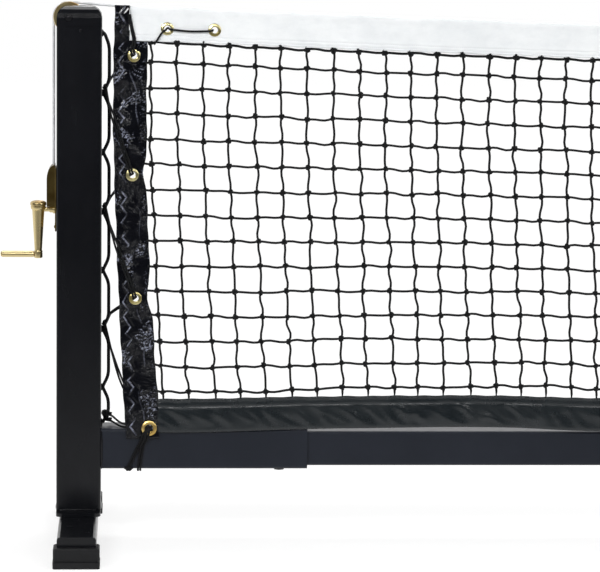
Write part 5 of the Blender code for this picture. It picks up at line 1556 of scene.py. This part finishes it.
# ------------------------------------------------------------------ CAD nodes that stay
def keep_cad_nodes():
    """The finishes of the CAD's own solids, on both sides where a name has no side."""
    finishes = {
        POWDER: ["post", "post_cap", "base_plate", "foot", "right_cable_anchor"],
        BLUE_BLACK: ["sleeve", "crossbar_tube", "crossbar_coupler"],
        RUBBER: ["front_shoe", "rear_shoe"],
        BLACK_STEEL: ["set_bolt"],
        DARK_BRASS: ["winch_frame", "winch_cover"],
        BRASS: ["worm_shaft", "worm_wheel"],
        ZINC: ["cable_drum", "strap_buckle"],
        CABLE: ["headband_cable"],
    }
    rounded = ("post", "post_cap", "sleeve", "crossbar_tube", "foot", "base_plate", "winch_cover",
               "crossbar_coupler")
    for finish, group in finishes.items():
        for node in group:
            for name in [node] if node in NODES else ["left_" + node, "right_" + node]:
                mesh = NODES[name].data
                mesh.materials.clear()
                mesh.materials.append(finish)
                if node in rounded:
                    mesh.shade_smooth()
                    mesh.set_sharp_from_angle(angle=math.radians(35))


# ------------------------------------------------------------------ stage and light
FLOOR_GLOW = 1.22               # strength of the white in the floor near the object
FLOOR_SHARE = 0.60              # and its share against the lit, shadowed part
ROOM_LEVEL = 0.42               # light of the room on the object


def floor_material():
    """Pale floor: white where nothing stands, with the object's shadow kept near it."""
    n = Nodes("studio_floor")
    path = n.add("ShaderNodeLightPath")
    n.set(Base_Color=(0.80, 0.80, 0.80), Roughness=0.9, Specular_IOR_Level=0.0)
    where = n.split(n.coords())
    away = n.math("ABSOLUTE", n.math("ADD", where[1], -0.1))
    far = n.range(away, 0.9, 3.2, 0.0, 1.0)
    glow = n.math("ADD", n.math("MULTIPLY", far, -0.18), FLOOR_GLOW)
    # gloss sees the sweep end a little way in front of the object, with the dark room beyond
    ahead = n.math("MULTIPLY", n.range(where[1], -1.3, -0.2, 0.52, 0.92),
                   n.range(where[1], -2.25, -1.75, 0.04, 1.0))
    gloss = path.outputs["Is Glossy Ray"]
    glow = n.math("ADD", n.math("MULTIPLY", glow, n.math("SUBTRACT", 1.0, gloss)),
                  n.math("MULTIPLY", ahead, gloss))
    white = n.add("ShaderNodeEmission", Strength=glow)
    seen = n.math("MAXIMUM", path.outputs["Is Camera Ray"], path.outputs["Is Glossy Ray"])
    seen = n.math("MAXIMUM", seen, path.outputs["Is Transmission Ray"])
    share = n.math("ADD", n.math("MULTIPLY", far, 1 - FLOOR_SHARE), FLOOR_SHARE)
    share = n.math("MAXIMUM", share, gloss)
    mix = n.add("ShaderNodeMixShader", Fac=n.math("MULTIPLY", seen, share))
    n.put(mix.inputs[1], n.shader.outputs["BSDF"])
    n.put(mix.inputs[2], white.outputs["Emission"])
    n.put(n.tree.nodes["Material Output"].inputs["Surface"], mix.outputs["Shader"])
    return n.material


def world_material():
    """A white room, darker on the camera's side for what gloss reflects."""
    world = bpy.data.worlds.new("studio")
    bpy.context.scene.world = world
    world.use_nodes = True
    tree = world.node_tree
    tree.nodes.clear()

    def node(kind, **values):
        made = tree.nodes.new(kind)
        for key, value in values.items():
            made.inputs[key.replace("_", " ")].default_value = value
        return made

    def room(strength):
        return node("ShaderNodeBackground", Color=(1, 1, 1, 1), Strength=strength)

    def mix(factor, first, second):
        made = node("ShaderNodeMixShader")
        tree.links.new(factor, made.inputs[0])
        tree.links.new(first.outputs[0], made.inputs[1])
        tree.links.new(second.outputs[0], made.inputs[2])
        return made

    path = node("ShaderNodeLightPath")
    split = node("ShaderNodeSeparateXYZ")
    tree.links.new(node("ShaderNodeTexCoord").outputs["Generated"], split.inputs[0])
    front = node("ShaderNodeMapRange", From_Min=-0.35, From_Max=0.30, To_Min=0.03, To_Max=0.85)
    front.interpolation_type = "SMOOTHSTEP"
    tree.links.new(split.outputs["Y"], front.inputs["Value"])
    gloss = room(1.0)
    tree.links.new(front.outputs["Result"], gloss.inputs["Strength"])
    lit = mix(path.outputs["Is Glossy Ray"], room(ROOM_LEVEL), gloss)
    clear = node("ShaderNodeMath")
    clear.operation = "MAXIMUM"
    tree.links.new(path.outputs["Is Camera Ray"], clear.inputs[0])
    tree.links.new(path.outputs["Is Transmission Ray"], clear.inputs[1])
    whole = mix(clear.outputs[0], lit, room(1.0))
    tree.links.new(whole.outputs[0], node("ShaderNodeOutputWorld").inputs["Surface"])


def stage():
    """The floor, the room and the lamps."""
    mesh = bpy.data.meshes.new("floor")
    mesh.from_pydata([(-14, -9, 0), (14, -9, 0), (14, 14, 0), (-14, 14, 0)], [], [(0, 1, 2, 3)])
    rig.stage(add_object("floor", mesh, floor_material()))
    world_material()
    # name, place, what it points at, size and power
    lamps = (("key", (-5.2, -4.2, 3.0), (-3.2, 0, 0.7), (1.8, 0.5), 120),
             ("fill", (-0.8, -4.4, 3.7), (-0.8, 0, 0.5), (8.0, 0.35), 105),
             ("far_key", (3.6, -4.8, 3.2), (3.0, 0, 0.6), (2.4, 0.8), 80),
             ("top", (0, 0.8, 4.2), (0, 0, 0), (7.5, 1.0), 120),
             ("rear", (0, 5.5, 3.2), (0, 0, 0.5), (7.0, 1.4), 90))
    for name, spot, aim, size, power in lamps:
        data = bpy.data.lights.new(name, "AREA")
        data.shape = "RECTANGLE"
        data.size, data.size_y = size
        data.energy = power
        made = add_object(name, data)
        made.location = spot
        made.rotation_euler = (Vector(aim) - Vector(spot)).to_track_quat("-Z", "Y").to_euler()


# ------------------------------------------------------------------ everything
for end in (-1, 1):
    for build in (lacing, headband_ties, cable, lacing_bar, pulley, welds, side_band, headband,
                  bottom_band, eyelets):
        build(end)
net()
crank()
winch_rivets()
centre_strap()
keep_cad_nodes()
stage()

bpy.context.scene.view_settings.view_transform = "Standard"

low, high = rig.bounds()
with open("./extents.json", "w") as sizes:
    json.dump({"cad": [list(cad_low), list(cad_high)], "visual": [list(low), list(high)]}, sizes)
